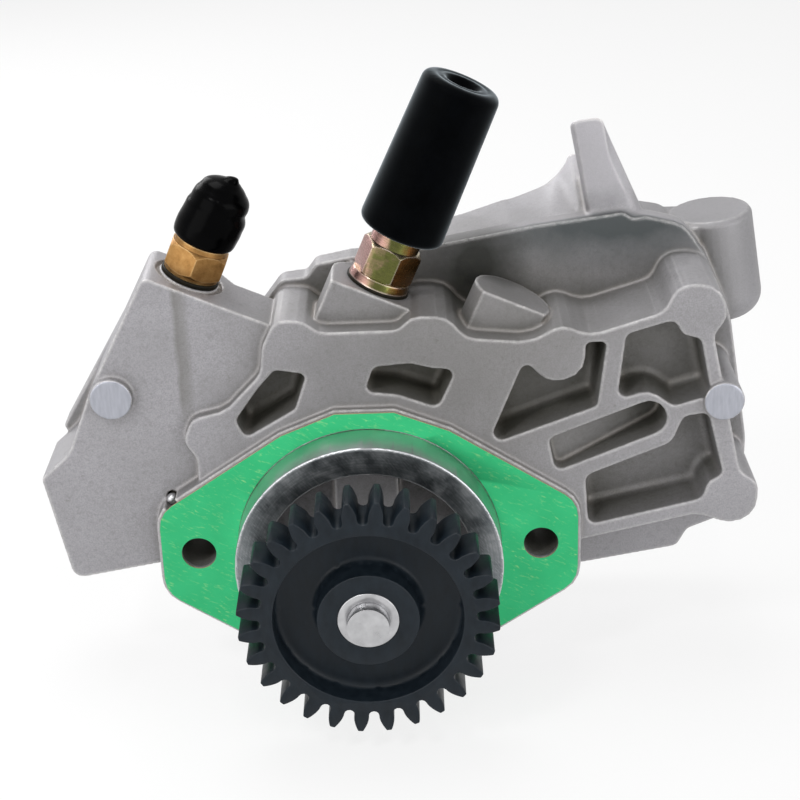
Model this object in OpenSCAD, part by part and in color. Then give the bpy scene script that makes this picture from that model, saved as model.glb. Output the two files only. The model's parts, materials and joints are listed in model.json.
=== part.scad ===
// Gear driven fuel feed pump with hand primer.
// The origin is the centre of the pilot spigot on the gasket's front face.
// X runs through the two flange bolt holes, Y goes back into the engine side, Z is up.

/* [Pilot and flange] */
// Radius of the pilot spigot that centres the pump
spigot_r = 40; // [38:0.5:42]
// How far the spigot stands in front of the gasket
spigot_reach = 13.2; // [9:0.1:16]
// Wall of the spigot ring
spigot_wall = 8.5; // [6:0.5:10]
// Distance between the two flange bolts
bolt_spacing = 104; // [102:0.5:108]
// Radius of the flange bolt holes
bolt_hole_r = 5.25; // [4.25:0.25:5.75]
// Thickness of the mounting gasket
gasket_t = 0.8; // [0.5:0.1:1.5]
// Width of the gasket land outside the spigot
gasket_land = 5.8; // [5:0.1:7]
// Gasket beyond the bolt hole centre
gasket_end = 11.2; // [10:0.1:13]
// Slope of the flange's straight edges
flange_slope = 33; // [30:1:36]
// Pad that stands out round the gasket
pad_margin = 1; // [0.5:0.1:2]

/* [Drive gear] */
// Number of teeth on the drive gear
gear_teeth = 28; // [24:1:30]
// Module of the drive gear teeth
gear_module = 2.5; // [2.3:0.05:2.6]
// Face width of the drive gear
gear_width = 12.2; // [10:0.1:14]
// Front face of the drive gear, in front of the gasket
gear_front = 42.2; // [38:0.1:46]
// Radius of the dished recess in the gear
recess_r = 27.1; // [24:0.1:28]
// Depth of the dished recess
recess_depth = 8; // [4:0.5:9]
// Radius of the gear's plastic hub
hub_r = 14.6; // [13:0.1:17]
// Radius of the steel insert in the hub
insert_r = 8.8; // [8:0.1:10]
// Radius of the drive shaft
shaft_r = 6; // [5:0.25:6.5]
// Shaft end that stands out of the hub
shaft_stub = 4; // [1:0.5:8]

/* [Gear pump] */
// Teeth on each pump gear
pump_teeth = 12; // [12:1:12]
// Module of the pump gears
pump_module = 2.5; // [2.3:0.1:2.5]
// Length of the pump gears
pump_gear_l = 16; // [12:1:17]
// Running clearance at the pump gear tips
tip_gap = 0.05; // [0.03:0.01:0.08]
// Radial clearance of shafts in their bushes
bush_gap = 0.04; // [0.02:0.01:0.08]
// Wall of the two shaft bushes
bush_wall = 2; // [1.5:0.25:2.5]
// Thickness of the rear cover
cover_t = 10; // [8:0.5:12]
// Thickness of the cover seal
cover_seal_t = 0.5; // [0.3:0.1:1]
// Radius of the cover screw shanks
screw_r = 3; // [2.5:0.25:3]

/* [Ports] */
// Lean of the port axes to the right
port_tilt = 24; // [22:0.5:26]
// Distance of the port axes behind the gasket
port_y = 21; // [20:0.5:22]
// Outlet fitting across flats
outlet_af = 17; // [15:0.5:18]
// Height of the outlet hexagon
outlet_hex_h = 8; // [6:0.5:9]
// Radius of the outlet spout under the cap
outlet_spout_r = 7; // [6:0.25:7.5]
// Outside radius of the protective cap
cap_r = 9.8; // [9.2:0.1:11]
// Height of the protective cap
cap_h = 20.5; // [19:0.5:24]
// Primer hexagon across flats
primer_af = 16; // [15:0.5:16.5]
// Height of the primer hexagon
primer_hex_h = 10.5; // [8:0.5:11]
// Primer piston radius
primer_bore_r = 5.5; // [4.5:0.25:5.5]
// Stroke of the hand primer
primer_stroke = 8; // [6:0.5:9]
// Radius of the knob at its lower end
knob_r = 12.9; // [12.4:0.1:14]
// Radius of the knob at its top
knob_top_r = 11.8; // [11:0.1:12.4]
// Length of the primer knob
knob_h = 48.5; // [42:0.5:50]

/* [Relief valve] */
// Radius of the relief piston
relief_r = 5; // [4:0.5:6]
// Travel of the relief piston
relief_travel = 5; // [3:0.5:6]

/* [Housing casting] */
// Front face of the pocketed web, behind the gasket's front face
web_front = 3; // [2:0.25:4]
// Step from the web back to the left block
block_step = 4; // [2:0.5:5]
// Depth of the web casting
web_depth = 29; // [26:1:32]
// Depth of the web pockets
pocket_depth = 14; // [10:1:17]
// Thickness of the rear wall behind the trough
wall_t = 8; // [6:0.5:10]
// Depth of the open backed rear body
rear_depth = 22; // [18:1:28]
// Draft of the cast pockets, in degrees
draft = 2.5; // [1:0.5:4]
// Fillet at the pocket floors
floor_fillet = 2; // [1:0.25:2]

/* [Hidden] */
$fn = 96;

// Slight clearance that lets fixed pieces seat without sharing a surface
seat_gap = 0.02;
// Overshoot of cutters
over = 1;
// Turn of each straight piece in a rounded corner
arc_step = 22.5;

// Depths along Y
block_front = web_front + block_step;
block_top_back = port_y + 7.5;
wall_front = web_front + web_depth;
wall_back = wall_front + wall_t;
rear_back = wall_back + rear_depth;

// Flange outline: lines tangent to the crown circle meet the two end flats
crown_r = spigot_r + gasket_land;
flange_end = bolt_spacing / 2 + gasket_end;
flange_apex = crown_r / cos(flange_slope);
flange_corner = flange_apex - flange_end * tan(flange_slope);
flange_corner_r = 9;
flange_corners = [
  [flange_end, -flange_corner, flange_corner_r], [flange_end, flange_corner, flange_corner_r],
  [0, flange_apex, crown_r],
  [-flange_end, flange_corner, flange_corner_r], [-flange_end, -flange_corner, flange_corner_r],
  [0, -flange_apex, crown_r]];

// Outlines of the casting as [x, z, corner radius], counter-clockwise seen from the front
web_corners = [
  [-46, 0, 2], [46, -5, 2], [99.5, 6.8, 6], [108, 3.6, 8], [117.8, 3.4, 7.6], [117.6, 16.8, 4],
  [112, 20.5, 5], [102.4, 65.2, 4], [106.4, 70.5, 6], [104.2, 80.9, 7.5], [91.5, 80.9, 6],
  [87.6, 72.6, 5], [66.5, 66.2, 9], [58.5, 69.8, 6], [48.5, 64.8, 8], [30.5, 66.6, 7],
  [25, 73.6, 7], [14.2, 73.8, 6], [11, 69.7, 4], [-12.5, 69.6, 6], [-16, 73.4, 6],
  [-25, 74, 5], [-29, 65.6, 5], [-30, 57.2, 6], [-41, 45.8, 6], [-51.3, 43.4, 4.5],
  [-54.2, 36.2, 4], [-50.4, 30.2, 5], [-51, 20, 2]];
block_corners = [
  [-92.2, -11.4, 3.5], [-60, -5.8, 3], [-40, -5, 2], [-20, 30, 3],
  [-20, 82 - 31 * tan(port_tilt), 2], [-62.4, 82 + 11.4 * tan(port_tilt), 2.5],
  [-81, 52, 30], [-89.4, 31.5, 7], [-98.6, 23.4, 1.5]];
wall_corners = [
  [30, -24, 4], [68, -25.4, 8], [98.4, -20.2, 3], [101.6, -14.2, 2.5], [112, -10, 5],
  [118.6, -4, 5], [119, 18, 15], [112.4, 60, 20], [104.3, 79, 10], [97.3, 89.2, 8],
  [86, 92.1, 4], [82, 91.6, 2], [79, 93.6, 2], [52, 90.2, 10], [13.5, 83.6, 9],
  [-3, 82.4, 5], [-13.6, 80.4, 2.5], [-16.6, 76.4, 2], [-24.4, 75.6, 3.5], [-31, 67, 4], [-46, 62, 4],
  [-72.6, 67.2, 2], [-95.4, 29.4, 2], [-92.5, 24.6, 2], [-88, 2, 3], [-60, -4, 3]];
rear_corners = [
  [36, -21, 5], [68, -22.6, 8], [94, -18, 4], [98, -11, 3], [110, -6.5, 4],
  [116, -1, 4], [116.2, 18, 14], [110, 58, 20], [101.5, 77.5, 10], [95, 86.4, 7],
  [82, 90.2, 4], [72.5, 92.6, 2], [66, 92, 2], [58, 91.3, 9], [46, 88.8, 14],
  [32, 85.4, 8], [20, 82, 3], [20, 68, 3], [36, 60, 6]];
// The same outline at the back, where its top rises to the fin
rear_back_corners = [
  [38, -19, 5], [68, -20.6, 8], [92, -16, 4], [96, -9, 3], [108, -4.5, 4],
  [114, 1, 4], [114.2, 18, 14], [108, 56, 20], [101, 77.5, 10], [95, 86.2, 7],
  [83, 88.4, 4], [71.6, 103.4, 2], [65.6, 103.6, 2], [59, 94.6, 12], [45, 89.4, 16],
  [32, 85.2, 8], [20, 82, 3], [20, 70, 3], [38, 62, 6]];
rear_eye = [78, 50];
rear_steps = 5;
fin_steps = 4;
// The fin's front face, narrower where its edges are blunted
fin_face_corners = [
  [70.3, 87, 2], [85.3, 87, 2], [75.4, 108.5, 6], [72.7, 122.5, 2.5], [64, 121.4, 1.5]];
fin_corners = [
  [69.6, 87, 2], [87.9, 87, 2], [78.2, 108.3, 6], [72.9, 120.6, 2.5], [63.1, 120.5, 1.5]];
// At the back its top has sloped down
fin_back_corners = [
  [70.4, 87, 2], [87.5, 87, 2], [77.8, 109, 6], [75, 113.9, 2.5], [65, 113.5, 2]];
fin_eye = [75, 98];
fin_blunt = 2.4;
fin_front = wall_front + 3;
fin_t = 17;

// Web pockets: an eye point inside, then the corners
pockets = [
  [[-28, 49], [[-38.2, 42.6, 2.5], [-35.6, 36.8, 2], [-20.4, 45.6, 2.5], [-16.4, 56.8, 1.8],
    [-25.8, 58.4, 1.8], [-31, 52.6, 8]]],
  [[14, 53], [[0.4, 50.6, 2], [10, 49.4, 6], [21.8, 44.8, 2.5], [27.4, 56.8, 2.2],
    [20.5, 57.4, 3], [14, 59.2, 3], [3.2, 58.4, 2.5]]],
  [[60, 44], [[36.2, 31.8, 2.5], [68.8, 43.6, 2], [71.4, 64.2, 1.6], [65.2, 64, 1.6],
    [65, 53.6, 7], [54.4, 51.6, 7], [47.4, 59, 2]]],
  [[89, 56], [[74.6, 45.2, 2.5], [84, 48.4, 6], [91.4, 42.8, 3], [102.4, 46, 2.5], [98.8, 64, 2.5],
    [93.4, 65.6, 3], [90.8, 70.2, 2.5], [77, 66.2, 2.5]]],
  [[90, 24], [[66.6, 4, 2.5], [100.8, 11.8, 3], [102.8, 18, 4], [107, 19.4, 2.5], [101.8, 40.4, 2.5],
    [94.4, 39.4, 3], [91.2, 31, 5], [65.6, 20.8, 3]]]];
// The sloping floored slot between the pockets
slot_corners = [[56.6, 22.4, 2.5], [92, 36.4, 5.2], [86.4, 46, 5.2], [54.4, 33.6, 2.5]];
slot_eye = [72, 34];
slot_shallow = 5;
// Pockets that lighten the rear body, open to the back
rear_pockets = [
  [[60, 14], [[44, -15, 4], [76, -16, 4], [76, 38, 4], [44, 34, 4]]],
  [[96, 14], [[83, -14, 4], [93, -12, 4], [111, 2, 4], [111, 20, 6], [106, 38, 4], [83, 38, 4]]],
  [[70, 64], [[44, 42, 4], [104, 46, 4], [99, 72, 6], [86, 80, 4], [62, 84, 4], [44, 80, 4]]]];
rear_pocket_depth = 18;

// Machined pads and drillings of the casting
left_pad = [-74.6, 50, 6.3];
right_pad = [106, 44.7, 6];
left_pad_reach = 3;
pad_reach = 2;
ball_at = [-59.4, 16.4];
ball_r = 1.7;
ball_hole_r = 2.2;

// Hub inside the spigot that carries the shaft
hub_boss_r = 16;
hub_boss_front = 10;
spigot_floor = 2;
spigot_rib_w = 19;
undercut_depth = 0.5;
gasket_clearance = 0.4;

// Gear pump: the idler runs above the shaft
pump_pitch_r = pump_module * pump_teeth / 2;
pump_tip_r = pump_pitch_r + pump_module * 0.96;
pump_root_r = pump_pitch_r - pump_module * 1.15;
centre_distance = 2 * pump_pitch_r + 0.06;
chamber_r = pump_tip_r + tip_gap;
chamber_back = wall_back + 2;
side_gap = 0.05;
chamber_front = chamber_back - pump_gear_l - 2 * side_gap;
bush_r = shaft_r + bush_wall;
front_bush_l = 16;
idler_pin_r = 6;
idler_pin_depth = 12;
cover_front = chamber_back + cover_seal_t;
cover_back = cover_front + cover_t;
cover_margin = 13;
screw_ring = chamber_r + 6.5;
screw_places = [
  for (a = [200, 270, 340]) [screw_ring * cos(a), screw_ring * sin(a)],
  for (a = [20, 90, 160]) [screw_ring * cos(a), centre_distance + screw_ring * sin(a)]];
screw_depth = 14;
screw_head_r = 5;
screw_head_h = 6;

// Ports, measured along their own axes from the top faces
port_axis = [sin(port_tilt), 0, cos(port_tilt)];
fitting_at = [-50.5, 81.8];
block_notch_depth = 14;
primer_at = [5, 77.6];
primer_block_left = 14.4;
primer_block_right = 10;
primer_block_front = 10;
blind_boss_at = [45, 74.4];
blind_boss_r = 12;
blind_boss_y = 17;
lug_at = [112.4, 52.6];
lug_y = wall_back + 13;
lug_r = 14;
lug_h = 34.4;
lug_round = 7;
lug_lean = 7;
seal_t = 1.5;
outlet_collar_r = 8.8;
port_groove_r = 10.4;
port_groove_w = 1.2;
port_groove_depth = 1.5;
outlet_stem_r = 7;
outlet_stem_l = 14;
outlet_bore_r = 4.2;
outlet_bore_top = 2.2;
check_ball_r = 3.5;
check_seat_r = 2.6;
port_drill_l = 14;
primer_hex_turn = 45.5;
primer_foot_r = 9.4;
primer_foot_h = 2.5;
primer_stem_r = 8;
primer_stem_l = 14;
primer_seat_t = 2;
barrel_r = primer_bore_r + 2;
barrel_top = 30;
guide_l = 4;
rod_r = 3;
piston_l = 6;
piston_rest = primer_stroke + 7;
knob_low = primer_stroke + 8.5;
knob_inner_r = 9.9;
knob_lid = 8.5;
slide_gap = 0.05;

// Relief valve: a bore from the back, left of the pump chamber
relief_at = [-44, 26];
relief_floor = 12;
relief_rest = relief_floor + 0.3;
relief_piston_l = 9;
relief_wall = 1.2;
relief_crown_t = 2.7;
// The plug leaves the piston its travel, and its own thread
relief_plug_l = chamber_back - relief_rest - relief_piston_l - relief_travel - 4;
relief_plug_head = 5;
relief_washer_t = 1;
relief_boss_r = 11;

function unit2(v) = v / norm(v);
function flat(list) = [for (part = list) each part];
function left_of(v) = [-v.y, v.x];
function turns_left(a, b, c) = (b - a).x * (c - b).y - (b - a).y * (c - b).x > 0;

// Points of one rounded corner at b, on the way from a to c
function corner_points(a, b, c, r, steps = 0) =
  let (
    u = unit2(a - b),
    v = unit2(c - b),
    half = acos(u * v) / 2,
    centre = b + unit2(u + v) * r / sin(half),
    start = b + u * r / tan(half) - centre,
    a0 = atan2(start.y, start.x),
    sweep = (turns_left(a, b, c) ? 1 : -1) * (180 - 2 * half),
    n = steps > 0 ? steps : max(1, round(abs(sweep) / arc_step)))
  [for (i = [0 : n])
    centre + r * [cos(a0 + sweep * i / n), sin(a0 + sweep * i / n)]];

// Corner k of an outline moved inwards by d, as [x, z, radius]
function inset_corner(corners, k, d) =
  let (
    n = len(corners),
    a = [corners[(k + n - 1) % n].x, corners[(k + n - 1) % n].y],
    b = [corners[k].x, corners[k].y],
    c = [corners[(k + 1) % n].x, corners[(k + 1) % n].y],
    n1 = left_of(unit2(b - a)),
    n2 = left_of(unit2(c - b)),
    moved = b + (n1 + n2) * d / (1 + n1 * n2),
    r = corners[k].z + (turns_left(a, b, c) ? -d : d))
  [moved.x, moved.y, max(r, 0.3)];

// All points of an outline with rounded corners, moved inwards by d
function outline(corners, d = 0, steps = 0) =
  let (
    n = len(corners),
    inner = [for (k = [0 : n - 1]) inset_corner(corners, k, d)],
    at = [for (c = inner) [c.x, c.y]])
  flat([for (k = [0 : n - 1])
    corner_points(at[(k + n - 1) % n], at[k], at[(k + 1) % n], inner[k].z, steps)]);

// Slab of an outline drawn in X and Z, from one depth to another
module slab(front, back) {
  translate([0, back, 0])
    rotate([90, 0, 0])
      linear_extrude(back - front)
        children();
}

module outline_slab(corners, front, back, d = 0) {
  slab(front, back)
    polygon(outline(corners, d));
}

// Round bar along Y
module bar(r, front, back, r2 = 0) {
  translate([0, back, 0])
    rotate([90, 0, 0])
      cylinder(r1 = r, r2 = r2 > 0 ? r2 : r, h = back - front);
}

module at_xz(p) {
  translate([p.x, 0, p.y])
    children();
}

// Frame of a leaning port: Z along its axis, zero on its top face
module on_port(p, y = port_y) {
  translate([p.x, y, p.y])
    rotate([0, port_tilt, 0])
      children();
}

// Solid through rings at given depths: each level is [y, ring], eye is a point inside every ring
module skin(levels, eye) {
  count = len(levels[0][1]);
  last = len(levels) - 1;
  points = concat(
    flat([for (level = levels) [for (p = level[1]) [p.x, level[0], p.y]]]),
    [[eye.x, levels[0][0], eye.y], [eye.x, levels[last][0], eye.y]]);
  front_eye = count * (last + 1);
  sides = [for (j = [0 : last - 1]) for (i = [0 : count - 1])
    let (a = j * count + i, b = j * count + (i + 1) % count)
    each [[a, b, b + count], [a, b + count, a + count]]];
  front = [for (i = [0 : count - 1]) [front_eye, (i + 1) % count, i]];
  back = [for (i = [0 : count - 1])
    [front_eye + 1, last * count + i, last * count + (i + 1) % count]];
  polyhedron(points = points, faces = concat(sides, front, back), convexity = 4);
}

// Skin of one outline whose levels are [y, inset]
module ring_loft(corners, eye, levels) {
  skin([for (level = levels) [level[0], outline(corners, level[1])]], eye);
}

// Cutter of a cast pocket with draft and a filleted floor, open towards the front
module pocket_cutter(corners, eye, mouth, depth) {
  floor_y = mouth + depth;
  slope = tan(draft);
  levels = concat(
    [[mouth - over, -over * slope], [floor_y - floor_fillet, (depth - floor_fillet) * slope]],
    [for (a = [45, 90])
      [floor_y - floor_fillet * (1 - sin(a)), depth * slope + floor_fillet * (1 - cos(a))]]);
  ring_loft(corners, eye, levels);
}

// The same, open towards the back
module rear_pocket_cutter(corners, eye, mouth, depth) {
  floor_y = mouth - depth;
  slope = tan(draft);
  levels = concat(
    [for (a = [90, 45])
      [floor_y + floor_fillet * (1 - sin(a)), depth * slope + floor_fillet * (1 - cos(a))]],
    [[floor_y + floor_fillet, (depth - floor_fillet) * slope], [mouth + over, -over * slope]]);
  ring_loft(corners, eye, levels);
}

// Slot whose floor slopes from shallow at one end to full depth at the other
module slot_cutter() {
  intersection() {
    ring_loft(slot_corners, slot_eye,
      [[web_front - over, 0], [web_front + pocket_depth, pocket_depth * tan(draft)]]);
    translate([slot_eye.x, web_front - over, slot_eye.y])
      rotate([0, -atan2(14, 35.4), 0])
        translate([-30, 0, -20])
          slot_wedge();
  }
}

// Wedge that gives the slot its sloping floor
module slot_wedge() {
  linear_extrude(40)
    polygon([[0, 0], [60, 0], [60, pocket_depth + over], [50, pocket_depth + over],
      [12, slot_shallow + over], [0, slot_shallow + over]]);
}

// Left block, web, rear wall, rear body and fin of the casting
module casting_blank() {
  outline_slab(web_corners, web_front, wall_front + over);
  left_block();
  outline_slab(wall_corners, wall_front, wall_back);
  rear_body();
  outline_slab(flange_corners, gasket_t, wall_front - 3, -pad_margin);
  fin();
}

// Fin on top of the rear body, its front edges blunted and its top sloped
module fin() {
  face = outline(fin_face_corners, 0, fin_steps);
  sides = outline(fin_corners, 0, fin_steps);
  back = outline(fin_back_corners, 0, fin_steps);
  skin([[fin_front, face], [fin_front + fin_blunt, sides], [fin_front + fin_t, back]], fin_eye);
}

// Port block on the left, its top narrower to the right of the outlet
module left_block() {
  difference() {
    outline_slab(block_corners, block_front, wall_front + over / 2);
    on_port(fitting_at, 0)
      translate([0, 0, -block_notch_depth])
        linear_extrude(block_notch_depth + over)
          polygon([[9, wall_front + over], [13.5, block_top_back],
            [50, block_top_back], [50, wall_front + over]]);
  }
}

// Ring that centres the pump, with ribs from the hub to the ring
module spigot() {
  difference() {
    bar(spigot_r, -spigot_reach, gasket_t + over);
    bar(spigot_r - spigot_wall, -spigot_reach - over, spigot_floor);
  }
  bar(hub_boss_r, -hub_boss_front, gasket_t + over);
  for (turn = [0 : 120 : 240])
    rotate([0, turn, 0])
      translate([-spigot_rib_w / 2, -hub_boss_front + 4, hub_boss_r - 2])
        cube([spigot_rib_w, hub_boss_front, spigot_r - spigot_wall - hub_boss_r + 4]);
}

// Body round the pump gears and their cover
module pump_barrel() {
  bar(spigot_r - 2, web_front, chamber_back);
  at_xz([0, centre_distance])
    bar(chamber_r + cover_margin, wall_back - over, chamber_back);
}

// Leaning block that the hand primer screws into, rounded at its back
module primer_block() {
  width = primer_block_left + primer_block_right;
  intersection() {
    on_port(primer_at, 0) {
      translate([-primer_block_left, primer_block_front, -30])
        cube([width, port_y - primer_block_front, 30]);
      translate([width / 2 - primer_block_left, port_y, -30])
        cylinder(r = width / 2, h = 30);
    }
    translate([-20, primer_block_front, 60])
      cube([40, wall_front, 30]);
  }
}

// Blind port boss, cut flat at the front
module blind_boss() {
  intersection() {
    on_port(blind_boss_at, blind_boss_y)
      translate([0, 0, -22])
        cylinder(r = blind_boss_r, h = 22);
    translate([20, primer_block_front, 58])
      cube([50, wall_front, 40]);
  }
}

// Rounded lug on the right, behind the web
module side_lug() {
  translate([lug_at.x, lug_y, lug_at.y])
    rotate([0, -lug_lean, 0])
      rotate_extrude()
        polygon(concat(
          [[0, 0]],
          [for (a = [-90 : 15 : 0])
            [lug_r - lug_round + lug_round * cos(a), lug_round + lug_round * sin(a)]],
          [[lug_r - 1, lug_h - 1.5], [lug_r - 2, lug_h], [0, lug_h]]));
  translate([lug_at.x - 20, lug_y - lug_r + 2, lug_at.y + 3])
    cube([20, 2 * lug_r - 6, lug_h - 5]);
}

// Rear body, lofted so that its top rises towards the fin
module rear_body() {
  front = outline(rear_corners, 0, rear_steps);
  back = outline(rear_back_corners, 0, rear_steps);
  skin([[wall_back - over, front], [rear_back, back]], rear_eye);
}

module bosses() {
  at_xz(left_pad)
    bar(left_pad.z, block_front - left_pad_reach, block_front + over);
  at_xz(right_pad)
    bar(right_pad.z, web_front - pad_reach, wall_front + over);
  at_xz(relief_at)
    bar(relief_boss_r, wall_front, chamber_back);
}

module port_bores() {
  on_port(fitting_at) {
    cylinder(r = outlet_collar_r + 2, h = 12);
    translate([0, 0, -outlet_stem_l - seat_gap])
      cylinder(r = outlet_stem_r + seat_gap, h = outlet_stem_l + over);
    translate([0, 0, -outlet_stem_l - port_drill_l])
      cylinder(r = check_seat_r, h = port_drill_l + over);
    port_groove();
  }
  on_port(primer_at) {
    translate([0, 0, -primer_stem_l - seat_gap])
      cylinder(r = primer_stem_r + seat_gap, h = primer_stem_l + over);
    translate([0, 0, -primer_stem_l - port_drill_l])
      cylinder(r = check_seat_r, h = port_drill_l + over);
  }
}

// Groove left by the spot facing tool round the outlet's seal
module port_groove() {
  translate([0, 0, -port_groove_depth])
    difference() {
      cylinder(r = port_groove_r, h = port_groove_depth + over);
      translate([0, 0, -over])
        cylinder(r = port_groove_r - port_groove_w, h = port_groove_depth + 3 * over);
    }
}

module pump_bores() {
  bar(bush_r, chamber_front - front_bush_l, chamber_front + over);
  bar(shaft_r + 1, -hub_boss_front - over, chamber_front);
  bar(shaft_seal_r, -hub_boss_front - over, -hub_boss_front + shaft_seal_l + seat_gap);
  bar(chamber_r, chamber_front, chamber_back + over);
  at_xz([0, centre_distance]) {
    bar(chamber_r, chamber_front, chamber_back + over);
    bar(idler_pin_r, chamber_front - idler_pin_depth, chamber_front + over);
  }
  for (p = screw_places)
    at_xz(p)
      bar(screw_r + seat_gap, chamber_back - screw_depth - 1, chamber_back + over);
}

module relief_bore() {
  at_xz(relief_at) {
    bar(relief_r + slide_gap, relief_floor, chamber_back + over);
    bar(relief_r + 2 + seat_gap, chamber_back - relief_plug_l - seat_gap, chamber_back + over);
  }
}

module housing() {
  color("#a3a19d")
    difference() {
      union() {
        casting_blank();
        spigot();
        pump_barrel();
        primer_block();
        blind_boss();
        side_lug();
        bosses();
      }
      for (p = pockets)
        pocket_cutter(p[1], p[0], web_front, pocket_depth);
      slot_cutter();
      for (p = rear_pockets)
        rear_pocket_cutter(p[1], p[0], rear_back, rear_pocket_depth);
      port_bores();
      pump_bores();
      relief_bore();
      for (side = [-1, 1])
        at_xz([side * bolt_spacing / 2, 0])
          bar(bolt_hole_r, -over, rear_back - rear_pocket_depth + over);
      at_xz(ball_at) {
        bar(ball_hole_r, gasket_t - over, web_front + 4);
        bar(ball_r, gasket_t - over, web_front + 9);
      }
      undercut();
    }
}

// Relief groove where the spigot meets the gasket face
module undercut() {
  difference() {
    bar(spigot_r + over, 0, gasket_t);
    bar(spigot_r - undercut_depth, -over, gasket_t + over);
  }
}

module mounting_gasket() {
  color("#2fb56c")
    difference() {
      outline_slab(flange_corners, 0, gasket_t);
      bar(spigot_r + gasket_clearance, -over, gasket_t + over);
      for (side = [-1, 1])
        at_xz([side * bolt_spacing / 2, 0])
          bar(bolt_hole_r, -over, gasket_t + over);
    }
}

// One side of an involute tooth, from the base or root circle out to the tip
function involute_point(base_r, r) =
  let (a = acos(min(1, base_r / r)))
  [r, tan(a) * 180 / PI - a];

// Outline of a spur gear with its first tooth on the X axis
function gear_points(teeth, mod, tip, root, thin = 0, pressure = 20, steps = 5) =
  let (
    pitch = mod * teeth / 2,
    base_r = pitch * cos(pressure),
    half = 90 / teeth - thin + involute_point(base_r, pitch)[1],
    gap = 180 / teeth - half,
    bottom_r = root * sin(gap) / (1 - sin(gap)),
    bottom_at = root + bottom_r,
    low = max(bottom_at + 0.1, base_r),
    side = [for (i = [0 : steps]) involute_point(base_r, low + (tip - low) * i / steps)])
  flat([for (k = [0 : teeth - 1])
    let (mid = 360 * k / teeth, next = mid + 180 / teeth)
    concat(
      [for (s = side) s[0] * [cos(mid - half + s[1]), sin(mid - half + s[1])]],
      [for (i = [steps : -1 : 0]) let (s = side[i])
        s[0] * [cos(mid + half - s[1]), sin(mid + half - s[1])]],
      [for (a = [0 : 30 : 180])
        bottom_at * [cos(next), sin(next)] + bottom_r * [cos(next - 90 - a), sin(next - 90 - a)]])]);

gear_tip_r = gear_module * gear_teeth / 2 + gear_module * 0.98;
gear_root_r = gear_tip_r - gear_module * 2.76;
gear_back = -gear_front + gear_width;
tooth_phase = 97.14;
// Angle taken off each flank, for running play
gear_thin = 0.3;
pump_thin = 0.35;
recess_fillet = 2.2;
hub_reach = 3;

module drive_gear() {
  color("#24282e")
    difference() {
      union() {
        slab(-gear_front, gear_back)
          rotate(tooth_phase)
            polygon(gear_points(gear_teeth, gear_module, gear_tip_r, gear_root_r, gear_thin));
        bar(hub_r, gear_back - over, gear_back + hub_reach);
      }
      gear_recess();
      bar(insert_r, -gear_front - over, gear_back + hub_reach + over);
    }
}

// Dish between the rim and the hub, with fillets at its floor
module gear_recess() {
  floor_low = recess_depth - recess_fillet;
  translate([0, -gear_front, 0])
    rotate([-90, 0, 0])
      rotate_extrude()
        polygon(concat(
          [[hub_r, -over], [recess_r, -over]],
          [for (a = [0 : 22.5 : 90])
            [recess_r - recess_fillet * (1 - cos(a)), floor_low + recess_fillet * sin(a)]],
          [for (a = [90 : -22.5 : 0])
            [hub_r + recess_fillet * (1 - cos(a)), floor_low + recess_fillet * sin(a)]]));
}

module gear_hub_insert() {
  color("#b9bcc0")
    difference() {
      bar(insert_r, -gear_front, gear_back + hub_reach);
      bar(shaft_r, -gear_front - over, gear_back + hub_reach + over);
    }
}

shaft_seal_r = shaft_r + 6;
shaft_seal_l = 7;
collar_r = shaft_r + 3;
collar_l = 3;
key_w = 3;
key_h = 2.2;

module drive_shaft() {
  color("#c9ccd0")
    difference() {
      union() {
        bar(shaft_r, -gear_front - shaft_stub, cover_back - 2);
        bar(collar_r, gear_back + hub_reach, gear_back + hub_reach + collar_l);
      }
      translate([-key_w / 2, chamber_front + side_gap + 1, shaft_r - key_h / 2])
        cube([key_w, pump_gear_l - 2, key_h]);
    }
}

module pump_gear_key() {
  color("#8d9096")
    translate([-key_w / 2, chamber_front + side_gap + 1, shaft_r - key_h / 2])
      cube([key_w, pump_gear_l - 2, key_h]);
}

module pump_gear(phase, bore) {
  front = chamber_front + side_gap;
  difference() {
    slab(front, front + pump_gear_l)
      rotate(phase)
        polygon(gear_points(pump_teeth, pump_module, pump_tip_r, pump_root_r, pump_thin));
    bar(bore, front - over, front + pump_gear_l + over);
  }
}

module pump_drive_gear() {
  color("#9aa0a6")
    difference() {
      pump_gear(90, shaft_r);
      translate([-key_w / 2, chamber_front - over, shaft_r - key_h / 2])
        cube([key_w, pump_gear_l + 2 * over, key_h]);
    }
}

module pump_idler_gear() {
  color("#9aa0a6")
    at_xz([0, centre_distance])
      pump_gear(90 + 180 / pump_teeth, idler_pin_r + bush_gap);
}

module idler_pin() {
  color("#b4b8bd")
    at_xz([0, centre_distance])
      bar(idler_pin_r, chamber_front - idler_pin_depth, cover_back - 3);
}

module shaft_seal() {
  color("#33302e")
    difference() {
      bar(shaft_seal_r, -hub_boss_front, -hub_boss_front + shaft_seal_l);
      bar(shaft_r + bush_gap, -hub_boss_front - over, -hub_boss_front + shaft_seal_l + over);
    }
}

module front_bush() {
  color("#b08d57")
    difference() {
      bar(bush_r, chamber_front - front_bush_l, chamber_front);
      bar(shaft_r + bush_gap, chamber_front - front_bush_l - over, chamber_front + over);
    }
}

module rear_bush() {
  color("#b08d57")
    difference() {
      bar(bush_r, cover_front, cover_back - 1);
      bar(shaft_r + bush_gap, cover_front - over, cover_back);
    }
}

module cover_profile(margin) {
  union() {
    circle(r = chamber_r + margin);
    translate([0, centre_distance])
      circle(r = chamber_r + margin);
    translate([-chamber_r - margin, 0])
      square([2 * (chamber_r + margin), centre_distance]);
  }
}

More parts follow.
